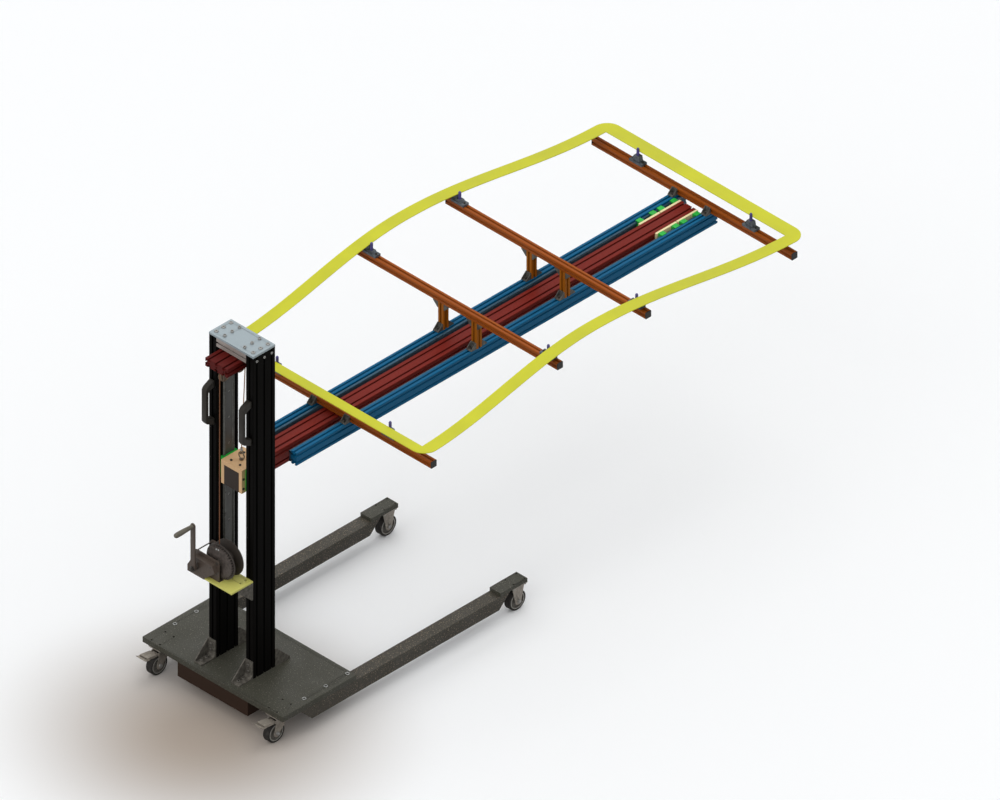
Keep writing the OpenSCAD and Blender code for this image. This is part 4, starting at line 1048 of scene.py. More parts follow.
@dataclass
class WireRope:
    """A twisted wire rope along a path.

    Attributes:
        name: The piece's name.
        path: Points of the rope's centre line, in the frame's metres.
        radius: Radius of the rope, in millimetres.
        strands: Strands in the rope.
        strand_sides: Points round each strand.
        groove: Half the depth between two strands, as a share of the rope's radius.
        twist: Length of one full twist, in millimetres.
        step: Distance between rings of points, in millimetres.
    """

    name: str
    path: list[Vector]
    radius: float
    strands: int = 6
    strand_sides: int = 3
    groove: float = 0.1
    twist: float = 34.0
    step: float = 2.4

    def spaced(self) -> list[Vector]:
        """The path with points at even steps."""
        points = [self.path[0]]
        for first, last in zip(self.path, self.path[1:]):
            count = max(1, round((last - first).length / (self.step * MM)))
            points += [first.lerp(last, (i + 1) / count) for i in range(count)]
        return points

    def build(self) -> Piece:
        """Builds the rope's mesh, carrying its frame along so that it never twists by itself."""
        points = self.spaced()
        sides = self.strands * self.strand_sides
        corners: list[Vector] = []
        across = Vector((1, -1, 0)).normalized()
        length = 0.0
        for i, point in enumerate(points):
            before, after = points[max(i - 1, 0)], points[min(i + 1, len(points) - 1)]
            run = (after - before).normalized()
            across = (across - run * across.dot(run)).normalized()
            up = run.cross(across)
            length += (point - before).length
            turn = 2 * math.pi * length / (self.twist * MM)
            for j in range(sides):
                angle = 2 * math.pi * j / sides
                lobe = 1 - self.groove + self.groove * math.cos(self.strands * angle)
                spot = across * math.cos(angle + turn) + up * math.sin(angle + turn)
                corners.append(point + spot * self.radius * lobe * MM)
        faces = []
        for i in range(len(points) - 1):
            for j in range(sides):
                a, b = i * sides + j, i * sides + (j + 1) % sides
                faces.append((a, b, b + sides, a + sides))
        faces.append(tuple(reversed(range(sides))))
        faces.append(tuple(range((len(points) - 1) * sides, len(points) * sides)))
        mesh = bpy.data.meshes.new(self.name)
        mesh.from_pydata(corners, [], faces)
        piece = bpy.data.objects.new(self.name, mesh)
        bpy.context.collection.objects.link(piece)
        tidy_normals(piece)
        return piece


@dataclass(frozen=True)
class Rods:
    """The ground steel rods that lie in a pair of guide rails.

    Attributes:
        node: The CAD rails.
        body: The body that carries them.
        along: The direction that they run.
        reach: Distance from a rail's middle to a rod, in millimetres.
        finish: The rods' finish.
        depth: Distance from the rail's mounting face to a rod, in millimetres.
        radius: Radius of a rod with its ground skin, in millimetres.
        chamfer: Size of the chamfer at a rod's ends, in millimetres.
    """

    node: str
    body: str
    along: Along
    reach: float
    finish: Finish
    depth: float = 7.0
    radius: float = 6.08
    chamfer: float = 0.5

    def build(self) -> None:
        """Models the four rods."""
        low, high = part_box(self.node)
        run, across = self.along.value, 3 - self.along.value
        length = (high[run] - low[run]) / MM
        end = self.radius - self.chamfer
        profile = [
            (0, end), (self.chamfer, self.radius),
            (length - self.chamfer, self.radius), (length, end),
        ]
        rod = turned(f"{self.node}_rod", profile, sides=24)
        places = []
        for side in Side:
            for part in (-1, 1):
                foot = middle(self.node)
                foot.x = side.value * (high.x - self.depth * MM)
                foot[run] = low[run]
                foot[across] += part * self.reach * MM
                places.append(standing(foot, self.along))
        rods = joined(f"{self.node}_rods", copies(rod, places))
        settle(rods, self.finish, self.body, "rail", angle=50)


@dataclass
class Base:
    """The plate on its wheels: plate, ballast, legs and pads.

    Attributes:
        plate_nodes: CAD nodes in the plate's powder coat.
        axle_nodes: CAD nodes that are plated axles.
    """

    plate_nodes: tuple[str, ...] = ("base_plate", "front_pads")
    axle_nodes: tuple[str, ...] = ("front_axles", "rear_axle_left", "rear_axle_right")

    def build(self) -> None:
        """Dresses the base."""
        for node in self.plate_nodes:
            dress(node, Finishes.plate, edge=1.2)
        dress("legs", Finishes.leg, edge=1.5)
        dress("ballast_block", Finishes.ballast, edge=1.5)
        for node in self.axle_nodes:
            dress(node, Finishes.dull)


@dataclass
class ChassisScrews:
    """Every screw that stands in the chassis, with its socket, washer and shank's end.

    Lengths are in millimetres, and places along the cart count from the base plate's rear edge.

    Attributes:
        deck: Height of the base plate's top.
        roof: Height of the top plate's top.
        shelf: Height of the winch shelf's underside.
        post: Distance from the middle to a post's middle.
        post_half: Half of a post's width.
        post_faces: Places of a post's rear and front faces.
        beam_end: Distance from the middle to the screws over the top beam's ends.
        flank_drop: How far below the roof the screws in the posts' outer faces are.
        rows: Places of the three screws in a row.
        flange: Thickness of a gusset's flange.
        gusset: Distances of a gusset's screws from its corner.
        leg: Distance from the middle to a leg's middle.
        leg_rows: Places of the screws over a leg.
        plate_face: Height of the undersides of the casters' mounting plates.
        plate_half: Half the pitch of a caster's screws across the cart.
        casters: Place of each caster's middle, half its screws' pitch along the cart, and the
            height of its carrier's top.
        shank_drop: How far below its carrier's top a caster screw's end stands.
        socket_floor: Height of the dark floor of painted shade, as a share of the head's height.
        socket_fill: Radius of the dark floor, as a share of the socket's.
    """

    deck: float = 147.0
    roof: float = 1657.0
    shelf: float = 598.0
    post: float = 100.0
    post_half: float = 20.0
    post_faces: tuple[float, float] = (100.0, 220.0)
    beam_end: float = 54.0
    flank_drop: float = 30.0
    rows: tuple[float, ...] = (120.0, 160.0, 200.0)
    flange: float = 6.0
    gusset: tuple[float, ...] = (34.0, 60.0)
    leg: float = 350.0
    leg_rows: tuple[float, ...] = (146.0, 263.0, 380.0)
    plate_face: float = 118.0
    plate_half: float = 22.5
    casters: tuple[tuple[float, float, float, float], ...] = (
        (317.0, 47.0, 37.5, 147.0), (350.0, 1287.0, 30.0, 138.0)
    )
    shank_drop: float = 3.0
    socket_floor: float = 0.46
    socket_fill: float = 0.97
    keys: list[Piece] = field(default_factory=list)

    def build(self) -> None:
        """Models the screws; together they stand for the CAD screws."""
        heads = self.row("button", Heads.button, self.roof_places(self.post))
        heads += self.row("cap", Heads.cap, self.roof_places(self.beam_end))
        heads += self.row("flank", Heads.flank, self.flank_places())
        heads += self.row("caster_cap", Heads.caster, self.caster_places())
        whole = joined("chassis_screw_heads", heads)
        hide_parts("chassis_screws")
        settle(whole, Finishes.dull, "chassis", "bolt")
        caps = self.row("gusset_cap", Heads.cap, self.gusset_places())
        settle(joined("gusset_cap_screws", caps), Finishes.cap_steel, "chassis", "bolt")
        self.leg_screws()
        self.shank_ends()
        settle(joined("screw_sockets", self.keys), Finishes.socket, "chassis", "bolt")

    def row(self, name: str, head: Head, places: Sequence[Matrix]) -> list[Piece]:
        """Copies of one head, and a dark floor of painted shade in each socket.

        Args:
            name: The heads' name.
            head: The kind of head.
            places: Where each stands.

        Returns:
            The heads.
        """
        floor = head.height * self.socket_floor
        reach = head.radius * head.key * self.socket_fill
        key = turned(f"{name}_key", [(floor, reach), (floor + 0.25, reach)], sides=6)
        self.keys += copies(key, places)
        return copies(head.build(name), places)

    def roof_places(self, reach: float) -> list[Matrix]:
        """Places on the top plate, a row on each side at a distance from the middle."""
        return [
            standing(at(side.value * reach, y, self.roof)) for side in Side for y in self.rows
        ]

    def flank_places(self) -> list[Matrix]:
        """Places on the posts' outer faces, where they meet the top beam."""
        out = self.post + self.post_half
        return [
            outwards(side, *at(side.value * out, y, self.roof - self.flank_drop))
            for side in Side for y in self.rows
        ]

    def gusset_places(self) -> list[Matrix]:
        """Places in both flanges of the six gussets."""
        rear, front = self.post_faces
        places = []
        for side in Side:
            x = side.value * self.post
            for d in self.gusset:
                places += [
                    standing(at(x, rear - d, self.deck + self.flange)),
                    standing(at(x, rear - self.flange, self.deck + d), Along.Y, True),
                    standing(at(x, front + d, self.deck + self.flange)),
                    standing(at(x, front + self.flange, self.deck + d), Along.Y),
                    standing(at(x, rear - d, self.shelf - self.flange), Along.Z, True),
                    standing(at(x, rear - self.flange, self.shelf - d), Along.Y, True),
                ]
        return places

    def caster_corners(self) -> Iterator[tuple[float, float, float]]:
        """The screws' places in the four mounting plates, with each carrier's top."""
        for side in Side:
            for x, y, half, top in self.casters:
                for dx in (-self.plate_half, self.plate_half):
                    for dy in (-half, half):
                        yield side.value * x + dx, y + dy, top

    def caster_places(self) -> list[Matrix]:
        """Places under the four mounting plates."""
        return [
            standing(at(x, y, self.plate_face), Along.Z, True)
            for x, y, _ in self.caster_corners()
        ]

    def leg_screws(self) -> None:
        """Models the low screws over the legs, each in a plated washer."""
        places = [
            standing(at(side.value * self.leg, y, self.deck))
            for side in Side for y in self.leg_rows
        ]
        height = 2.4
        washer = ring("leg_washer", height, thickness=1.7, radius=8.0, bevel=0.6, steps=36)
        washer.data.transform(Matrix.Translation((0, 0, height / 2 * MM)))
        settle(joined("leg_washers", copies(washer, places)), Finishes.bright, "chassis", "bolt")
        heads = self.row("leg_head", Heads.leg, places)
        settle(joined("leg_screws", heads), Finishes.dark_screw, "chassis", "bolt")

    def shank_ends(self) -> None:
        """Models the rounded caster screw ends a little below the plates' tops, in painted shade.
        """
        master = turned("shank_end", [(-9, 3.9), (-0.8, 3.9), (0, 3.1)], sides=20)
        places = [
            standing(at(x, y, top - self.shank_drop)) for x, y, top in self.caster_corners()
        ]
        ends = joined("caster_screw_ends", copies(master, places))
        settle(ends, Finishes.socket, "chassis", "bolt")


@dataclass
class Casters:
    """The two swivel casters and the two fixed ones. Lengths are in millimetres.

    Attributes:
        wheel_radius: Radius of a wheel.
        tyre_width: Width of a tyre.
        tyre_thickness: Thickness of the rubber.
        shoulder: Radius of the tyre's rounded shoulders.
        tread_ribs: Shallow grooves around the tread.
        groove: Radius of a groove's floor, as a share of the wheel's.
        lip_width: Radial width of the pressed lip at the rim's edges.
        lip_depth: Width of the lip along the axle.
        pedal_ribs: Ribs on a pedal's tail.
        rib_length: Length of a rib.
        rib_radius: Radius of a rib.
        rib_end: Radius of a rib's tapered ends.
        rib_start: Distance from the tail's rear edge to the first rib.
        rib_pitch: Distance between two ribs.
        rib_sink: How deep a rib's middle lies in the tail.
        tread_slope: How steeply the pedal's tail rises.
        race_gap: Height of the ball race's middle over the fork.
    """

    wheel_radius: float = 45.0
    tyre_width: float = 30.0
    tyre_thickness: float = 9.0
    shoulder: float = 3.6
    tread_ribs: int = 3
    groove: float = 0.986
    lip_width: float = 3.2
    lip_depth: float = 1.2
    pedal_ribs: int = 4
    rib_length: float = 44.0
    rib_radius: float = 0.9
    rib_end: float = 0.6
    rib_start: float = 1.6
    rib_pitch: float = 3.2
    rib_sink: float = 0.2
    tread_slope: float = 7 / 13
    race_gap: float = 3.2

    def build(self) -> None:
        """Dresses and models the casters."""
        for node in ("caster_plates", "front_forks", "rear_fork_left", "rear_fork_right"):
            dress(node, Finishes.zinc, edge=0.7)
        for side in Side:
            for end in ("rear", "front"):
                dress(f"{end}_rim_{side.word}", Finishes.rim)
                self.tyre(f"{end}_tyre_{side.word}", f"{end}_wheel_{side.word}")
            for end in ("rear", "front"):
                self.lips(f"{end}_rim_{side.word}", f"{end}_wheel_{side.word}")
            self.pedal(side)
            self.race(side)
            axle = f"rear_axle_{side.word}"
            nut = self.nut(f"nut_{axle}", axle, side, height=4.5)
            settle(nut, Finishes.dull, f"rear_swivel_{side.word}", "bolt")
        nuts = [
            self.nut(f"front_nut_{side.word}", "front_axles", side, height=4.0)
            for side in (Side.RIGHT, Side.LEFT)
        ]
        settle(joined("front_nuts", nuts), Finishes.dull, "chassis", "bolt")

    def tyre(self, node: str, body: str) -> None:
        """Models a tyre with rounded shoulders and shallow grooves in its tread.

        Args:
            node: The CAD tyre that it stands for.
            body: The wheel's body.
        """
        piece = ring(
            f"{node}_rubber", self.tyre_width, self.tyre_thickness, self.wheel_radius,
            self.shoulder,
        )
        tread = self.wheel_radius * 0.985 * MM
        span = self.tyre_width / 2 - self.shoulder
        width = span / (self.tread_ribs + 0.5)

        def on_tread(face: bmesh.types.BMFace) -> bool:
            """True for a face of the tread."""
            return math.hypot(*face.calc_center_median().xy) > tread and abs(face.normal.z) < 0.2

        def in_groove(face: bmesh.types.BMFace) -> bool:
            """True for a face of the tread in every second band."""
            band = int((face.calc_center_median().z / MM + span) / width)
            return on_tread(face) and band % 2 == 1

        with editing(piece):
            pick(piece, Pick.FACE, on_tread)
            bpy.ops.mesh.subdivide(number_cuts=2 * self.tread_ribs, quadcorner="INNERVERT")
            pick(piece, Pick.FACE, in_groove)
            bpy.ops.transform.resize(
                value=(self.groove, self.groove, 1), center_override=(0, 0, 0)
            )
        piece.data.transform(standing(middle(node), Along.X))
        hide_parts(node)
        settle(piece, Finishes.tyre, body, "tyre", angle=50)

    def lips(self, node: str, body: str) -> None:
        """Models the two lips at a rim's edges, lighter than the rim as a painted highlight.

        Args:
            node: The CAD rim.
            body: The wheel's body.
        """
        radius = self.wheel_radius - self.tyre_thickness
        lip = ring(f"{node}_lip", self.lip_depth, self.lip_width, radius, bevel=0.4)
        out = (self.tyre_width / 2 - self.lip_depth / 4) * MM
        centre = middle(node)
        places = [standing(centre + Vector((s * out, 0, 0)), Along.X) for s in (-1, 1)]
        pair = joined(f"{node}_lips", copies(lip, places))
        settle(pair, Finishes.rim_lip, body, "zinc", angle=50)

    def pedal(self, side: Side) -> None:
        """Dresses the brake pedal and models the ribs on its tread.

        Args:
            side: The pedal's side.
        """
        node = f"brake_pedal_{side.word}"
        dress(node, Finishes.pedal, edge=0.6)
        low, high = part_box(node)
        length, radius, end = self.rib_length, self.rib_radius, self.rib_end
        profile = [(0, end), (1, radius), (length - 1, radius), (length, end)]
        master = turned(f"pedal_rib_{side.word}", profile, sides=10)
        places = []
        for i in range(self.pedal_ribs):
            down = self.rib_start + self.rib_pitch * i
            x = middle(node).x - length / 2 * MM
            z = high.z - (self.rib_sink + down * self.tread_slope) * MM
            places.append(standing(Vector((x, low.y + down * MM, z)), Along.X))
        ribs = joined(f"pedal_ribs_{side.word}", copies(master, places))
        settle(ribs, Finishes.pedal, f"rear_pedal_{side.word}", "pedal")

    def race(self, side: Side) -> None:
        """Models the two cups of the ball race between the plate and the fork.

        Args:
            side: The caster's side.
        """
        fork = f"rear_fork_{side.word}"
        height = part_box(fork)[1].z + self.race_gap * MM
        cup = ring(
            f"race_cup_{side.word}", width=3.4, thickness=2.2, radius=26.2, bevel=0.9, steps=48
        )
        cup.data.transform(Matrix.Translation(Vector((middle(fork).x, axis_y(side), height))))
        settle(cup, Finishes.zinc, "chassis", "zinc")

    def nut(self, name: str, axle: str, side: Side, height: float) -> Piece:
        """Models the nut on an axle's outer end.

        Args:
            name: The nut's name.
            axle: The CAD axle.
            side: The wheel's side.
            height: Height of the nut, in millimetres.

        Returns:
            The nut in its place.
        """
        centre = middle(axle)
        nut = hexagon_nut(name, width=15.0, height=height, bore=3.4)
        nut.data.transform(outwards(side, side.end(axle), centre.y, centre.z))
        return nut


def axis_y(side: Side) -> float:
    """Where a rear caster's swivel axis stands along the cart, in metres."""
    joints = frame["record"]["behaviour"]["joints"]
    return next(j["pos_m"][1] for j in joints if j["name"] == f"rear_swivel_{side.word}")


@dataclass
class Mast:
    """Posts, beams, rails, gussets, plate and handles. Lengths are in millimetres.

    Attributes:
        rod_reach: Distance from a mast rail's middle to its rods.
        rail_pitch: Distance between two screws in a rail.
        rail_screws: Screws in each mast rail.
        seat: Distance from the middle to the seat of a rail screw.
        bolt_out: Distance from the middle to the sheave bracket's bolts.
        bolt_in: Distance from the bracket's ends to its bolts.
        bolt_drop: How far below the bracket's top its bolts sit.
    """

    rod_reach: float = 23.0
    rail_pitch: float = 120.0
    rail_screws: int = 8
    seat: float = 76.0
    bolt_out: float = 21.0
    bolt_in: float = 14.0
    bolt_drop: float = 3.0

    def build(self) -> None:
        """Dresses and models the mast."""
        dress("posts", Finishes.post, edge=0.5)
        dress("corner_gussets", Finishes.gusset, edge=0.9)
        dress("top_plate", Finishes.top_plate, edge=0.8)
        dress("top_beam", Finishes.top_beam, edge=0.4)
        dress("pulley_beam", Finishes.pulley_beam, edge=0.5)
        dress("mast_rails", Finishes.rail)
        handles = softened_copy("push_handles", "bow_handles", edge=4.6, segments=4)
        settle(handles, Finishes.handle, "chassis", "handle", angle=50)
        Rods("mast_rails", "chassis", Along.Z, self.rod_reach, Finishes.rod).build()
        self.rail_fasteners()
        self.bracket_bolts()

    def rail_fasteners(self) -> None:
        """Models the low screws that sit in the mast rails' counterbores."""
        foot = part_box("mast_rails")[0].z
        across = middle("mast_rails").y
        places = []
        for side in Side:
            for i in range(self.rail_screws):
                height = foot + self.rail_pitch * (i + 0.5) * MM
                point = Vector((side.value * self.seat * MM, across, height))
                places.append(standing(point, Along.X, side is Side.RIGHT))
        screws("mast_rail_screws", Heads.rail, places, Finishes.dull, "chassis")

    def bracket_bolts(self) -> None:
        """Models the bolts under the pulley beam that carry the sheave bracket."""
        low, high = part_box("sheave_bracket")
        places = []
        for side in Side:
            for y in (low.y + self.bolt_in * MM, high.y - self.bolt_in * MM):
                point = Vector((side.value * self.bolt_out * MM, y, high.z - self.bolt_drop * MM))
                places.append(standing(point, Along.Z, True))
        screws("bracket_screws", Heads.bracket, places, Finishes.dull, "chassis")


@dataclass
class Winch:
    """Shelf, winch frame, cover, drum, gear, shafts, crank and grip. Lengths are in millimetres.

    Attributes:
        rivets: Places of the cover's rivets, from the middle and from the floor.
        shelf_holes: Places of the open holes in the shelf, from the middle and from the base
            plate's rear edge.
        shelf_top: Height of the shelf's top.
        sleeve_rear: Place of the rear end of the crank's sleeve, from the base plate's rear edge.
        clamp_reach: Distance from the drum's axis to the screws that clamp the cable.
        clamp_turns: Where these screws are round the axis, in degrees.
        washer_in: How far the crank's washer lies inside the grip's front end.
        nut_in: How far the lock nut sits on the shaft's rear end.
        skin: How far rivets and the ring of painted shade lie off what carries them.
    """

    rivets: tuple[tuple[float, float], ...] = ((-78, 674), (8, 674), (-104, 616))
    shelf_holes: tuple[tuple[float, float], ...] = ((-96, 54), (-96, 84), (96, 54), (96, 84))
    shelf_top: float = 606.0
    sleeve_rear: float = -34.0
    clamp_reach: float = 57.0
    clamp_turns: tuple[float, ...] = (94.0, 106.0)
    washer_in: float = 0.6
    nut_in: float = 0.5
    skin: float = 0.1

    def build(self) -> None:
        """Dresses and models the winch."""
        dress("winch_shelf", Finishes.shelf, edge=0.8)
        dress("winch_frame", Finishes.winch, edge=0.5)
        dress("winch_cover", Finishes.winch, edge=0.9, segments=3)
        dress("winch_drum", Finishes.winch_dark, edge=0.5)
        dress("drum_gear", Finishes.gear)
        dress("pinion_shaft", Finishes.dark_screw)
        arm = softened_copy("crank_arm", "forged_crank", edge=1.1, segments=3)
        settle(arm, Finishes.winch, "crank", "winch_brown", angle=45)
        self.grip()
        self.crank_fixing()
        self.crank_sleeve()
        self.hole_rims()
        self.cover_rivets()
        self.clamp_screws()
        self.gear_gap()

    def grip(self) -> None:
        """Models the turned grip on the crank's spindle."""
        low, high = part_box("crank_grip")
        length = (high.y - low.y) / MM
        collar = [(0.0, 7.0), (0.6, 8.4), (3.0, 9.0), (5.0, 8.2)]
        belly = [(0.25, 9.1), (0.5, 10.3), (0.72, 10.95), (0.88, 10.6)]
        end = [(5.0, 9.2), (1.6, 6.4), (0.0, 2.6)]
        shape = collar + [(length * share, radius) for share, radius in belly]
        shape += [(length - back, radius) for back, radius in end]
        piece = turned("turned_grip", shape, sides=40)
        centre = middle("crank_grip")
        piece.data.transform(standing(Vector((centre.x, high.y, centre.z)), Along.Y, True))
        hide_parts("crank_grip")
        settle(piece, Finishes.grip, "grip", "grip", angle=60)

    def crank_fixing(self) -> None:
        """Models the lock nut and washer that hold the crank on its shaft."""
        centre = middle("pinion_shaft")
        washer = ring("crank_washer", width=1.6, thickness=5.0, radius=12.5, bevel=0.4, steps=40)
        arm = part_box("crank_grip")[1].y - self.washer_in * MM
        washer.data.transform(standing(Vector((centre.x, arm, centre.z)), Along.Y))
        nut = hexagon_nut("crank_lock_nut", width=17.0, height=5.5, bore=4.0)
        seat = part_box("pinion_shaft")[0].y + self.nut_in * MM
        nut.data.transform(standing(Vector((centre.x, seat, centre.z)), Along.Y, True))
        settle(joined("crank_fixing", [washer, nut]), Finishes.dark_screw, "crank", "zinc")

    def crank_sleeve(self) -> None:
        """Models the sleeve between the crank and the cover, which turns with the crank."""
        centre = middle("pinion_shaft")
        sleeve = turned("crank_sleeve", [(0, 10.5), (12.5, 10.5)], sides=40)
        rear = Vector((centre.x, ahead(self.sleeve_rear), centre.z))
        sleeve.data.transform(standing(rear, Along.Y))
        settle(sleeve, Finishes.winch_dark, "crank", "winch_brown", angle=45)

    def hole_rims(self) -> None:
        """Models dark rims round the shelf's open holes, as painted shade in the holes."""
        rim = ring("hole_rim", width=0.8, thickness=1.0, radius=4.0, bevel=0.2, steps=32)
        places = [Matrix.Translation(at(x, y, self.shelf_top)) for x, y in self.shelf_holes]
        rims = joined("shelf_hole_rims", copies(rim, places))
        settle(rims, Finishes.socket, "chassis", "shelf_yellow")

    def cover_rivets(self) -> None:
        """Models the round-headed rivets along the cover's edge."""
        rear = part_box("winch_cover")[0].y + self.skin * MM
        master = turned("cover_rivet", [(0, 3.4), (0.8, 3.2), (1.6, 2.3), (2.0, 0.9)], sides=20)
        places = [standing(Vector((x * MM, rear, z * MM)), Along.Y, True) for x, z in self.rivets]
        heads = joined("cover_rivets", copies(master, places))
        settle(heads, Finishes.dark_screw, "chassis", "winch_brown", angle=60)

    def clamp_screws(self) -> None:
        """Models the two screws near the gear's rim that clamp the cable's end."""
        axis = middle("drum_gear")
        axis.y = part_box("drum_gear")[0].y
        places = []
        for turn in self.clamp_turns:
            out = Vector((math.cos(math.radians(turn)), 0, math.sin(math.radians(turn))))
            places.append(standing(axis + out * self.clamp_reach * MM, Along.Y, True))
        heads = joined("cable_clamp_screws", copies(Heads.clamp.build("clamp_screw"), places))
        settle(heads, Finishes.bright, "drum", "zinc")

    def gear_gap(self) -> None:
        """Models a dark ring behind the gear's teeth, where it meets the flange, as painted shade.
        """
        seat = middle("drum_gear")
        seat.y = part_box("drum_gear")[1].y - self.skin * MM
        grease_and_shade = ring("gear_grease", width=0.4, thickness=9.0, radius=69.8, bevel=0.1)
        grease_and_shade.data.transform(standing(seat, Along.Y))
        settle(grease_and_shade, Finishes.socket, "drum", "zinc")


@dataclass
class CablePath:
    """The wire rope from the drum over both sheaves down to the carriage, and what carries it.

    Attributes:
        wrap_radius: Radius of the rope's centre line on the drum, in millimetres.
        groove_line: Radius of the rope's centre line on a sheave, in millimetres.
        rope_radius: Radius of the rope, in millimetres.
        lift_line: Place of the rising rope, from the base plate's rear edge, in millimetres.
        standing_turn: Part of a turn that stands on the drum where the rope leaves it, in degrees.
        turns: Turns of rope beside the rear flange.
        pitch: Distance between two turns, in millimetres.
        wound_end: Where the wound rope ends round the drum's axis, in degrees.
        ferrule_grip: How far the hanging rope reaches into its ferrule, in millimetres.
        ferrule_gap: How far above its ferrule the rope is aimed at, in millimetres.
    """

    wrap_radius: float = 29.0
    groove_line: float = 27.25
    rope_radius: float = 2.25
    lift_line: float = 44.0
    standing_turn: float = 310.0
    turns: float = 2.25
    pitch: float = 4.95
    wound_end: float = 130.0
    ferrule_grip: float = 6.0
    ferrule_gap: float = 0.3

    def build(self) -> None:
        """Dresses and models the cable's path."""
        for node in ("sheave_rear", "sheave_front"):
            dress(node, Finishes.sheave)
        dress("sheave_bracket", Finishes.bracket, edge=0.5)
        dress("sheave_pins", Finishes.bright, edge=0.4, segments=1)
        self.lift_rope()
        self.drop_rope()
        self.wound_rope()

    def around(
        self, centre: Vector, radius: float, first: float, last: float, flat: Vector
    ) -> list[Vector]:
        """Points of an arc in an upright plane, every 4 degrees or so.

        Args:
            centre: The arc's centre.
            radius: Its radius, in millimetres.
            first: The starting angle, in degrees, from the flat direction upwards.
            last: The final angle, in degrees.
            flat: The level direction of the plane.

        Returns:
            The points from first to last.
        """
        count = max(2, round(abs(last - first) / 4))
        angles = [math.radians(first + (last - first) * i / count) for i in range(count + 1)]
        up = Vector((0, 0, 1))
        return [centre + (flat * math.cos(a) + up * math.sin(a)) * radius * MM for a in angles]

    def leave_angle(self) -> float:
        """The angle on the front sheave where the rope starts down to the carriage, in degrees."""
        sheave = middle("sheave_front")
        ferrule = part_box("lifting_eye")[1].z + self.ferrule_gap * MM
        down = Vector((middle("lifting_eye").y - sheave.y, ferrule - sheave.z))
        slope = math.atan2(down.y, down.x)
        return math.degrees(slope + math.acos(self.groove_line * MM / down.length))

    def over_front(self, first: float) -> list[Vector]:
        """The rope's way over the front sheave, from an angle in degrees to where it leaves it."""
        forward = Vector((0, 1, 0))
        return self.around(
            middle("sheave_front"), self.groove_line, first, self.leave_angle(), forward
        )

    def lift_rope(self) -> None:
        """Models the rope from the drum up to the rear sheave and over to the front one."""
        drum = middle("drum_gear")
        drum.y = ahead(self.lift_line)
        right, forward = Vector((1, 0, 0)), Vector((0, 1, 0))
        path = self.around(drum, self.wrap_radius, 180 + self.standing_turn, 180, right)
        path += self.around(middle("sheave_rear"), self.groove_line, 180, 90, forward)
        path += self.over_front(90)
        piece = WireRope("lift_rope", path, self.rope_radius).build()
        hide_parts("lift_cable")
        settle(piece, Finishes.rope, "chassis", "cable", angle=60)

    def drop_rope(self) -> None:
        """Models the hanging rope between the mast and the carriage."""
        top = self.over_front(self.leave_angle() + 1)[-1]
        grip = self.ferrule_grip * MM
        foot = Vector((0, middle("lifting_eye").y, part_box("lifting_eye")[1].z - grip))
        piece = WireRope("drop_rope", [top, foot], self.rope_radius).build()
        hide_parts("drop_cable")
        coat(piece, Finishes.rope_light, "cable_front", angle=60)
        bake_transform(piece)
        log.info("drop_rope bends between chassis and carriage")

    def wound_rope(self) -> None:
        """Models the turns that lie on the drum."""
        drum = middle("drum_gear")
        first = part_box("drum_winding")[0].y + self.rope_radius * MM
        count = round(self.turns * 60)
        path = []
        for i in range(count + 1):
            angle = math.radians(self.wound_end - 360 * self.turns * (1 - i / count))
            out = Vector((math.cos(angle), 0, math.sin(angle))) * self.wrap_radius * MM
            y = first + self.pitch * MM * self.turns * i / count
            path.append(Vector((drum.x, y, drum.z)) + out)
        piece = WireRope("wound_rope", path, self.rope_radius).build()
        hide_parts("drum_winding")
        settle(piece, Finishes.rope, "drum", "cable", angle=60)


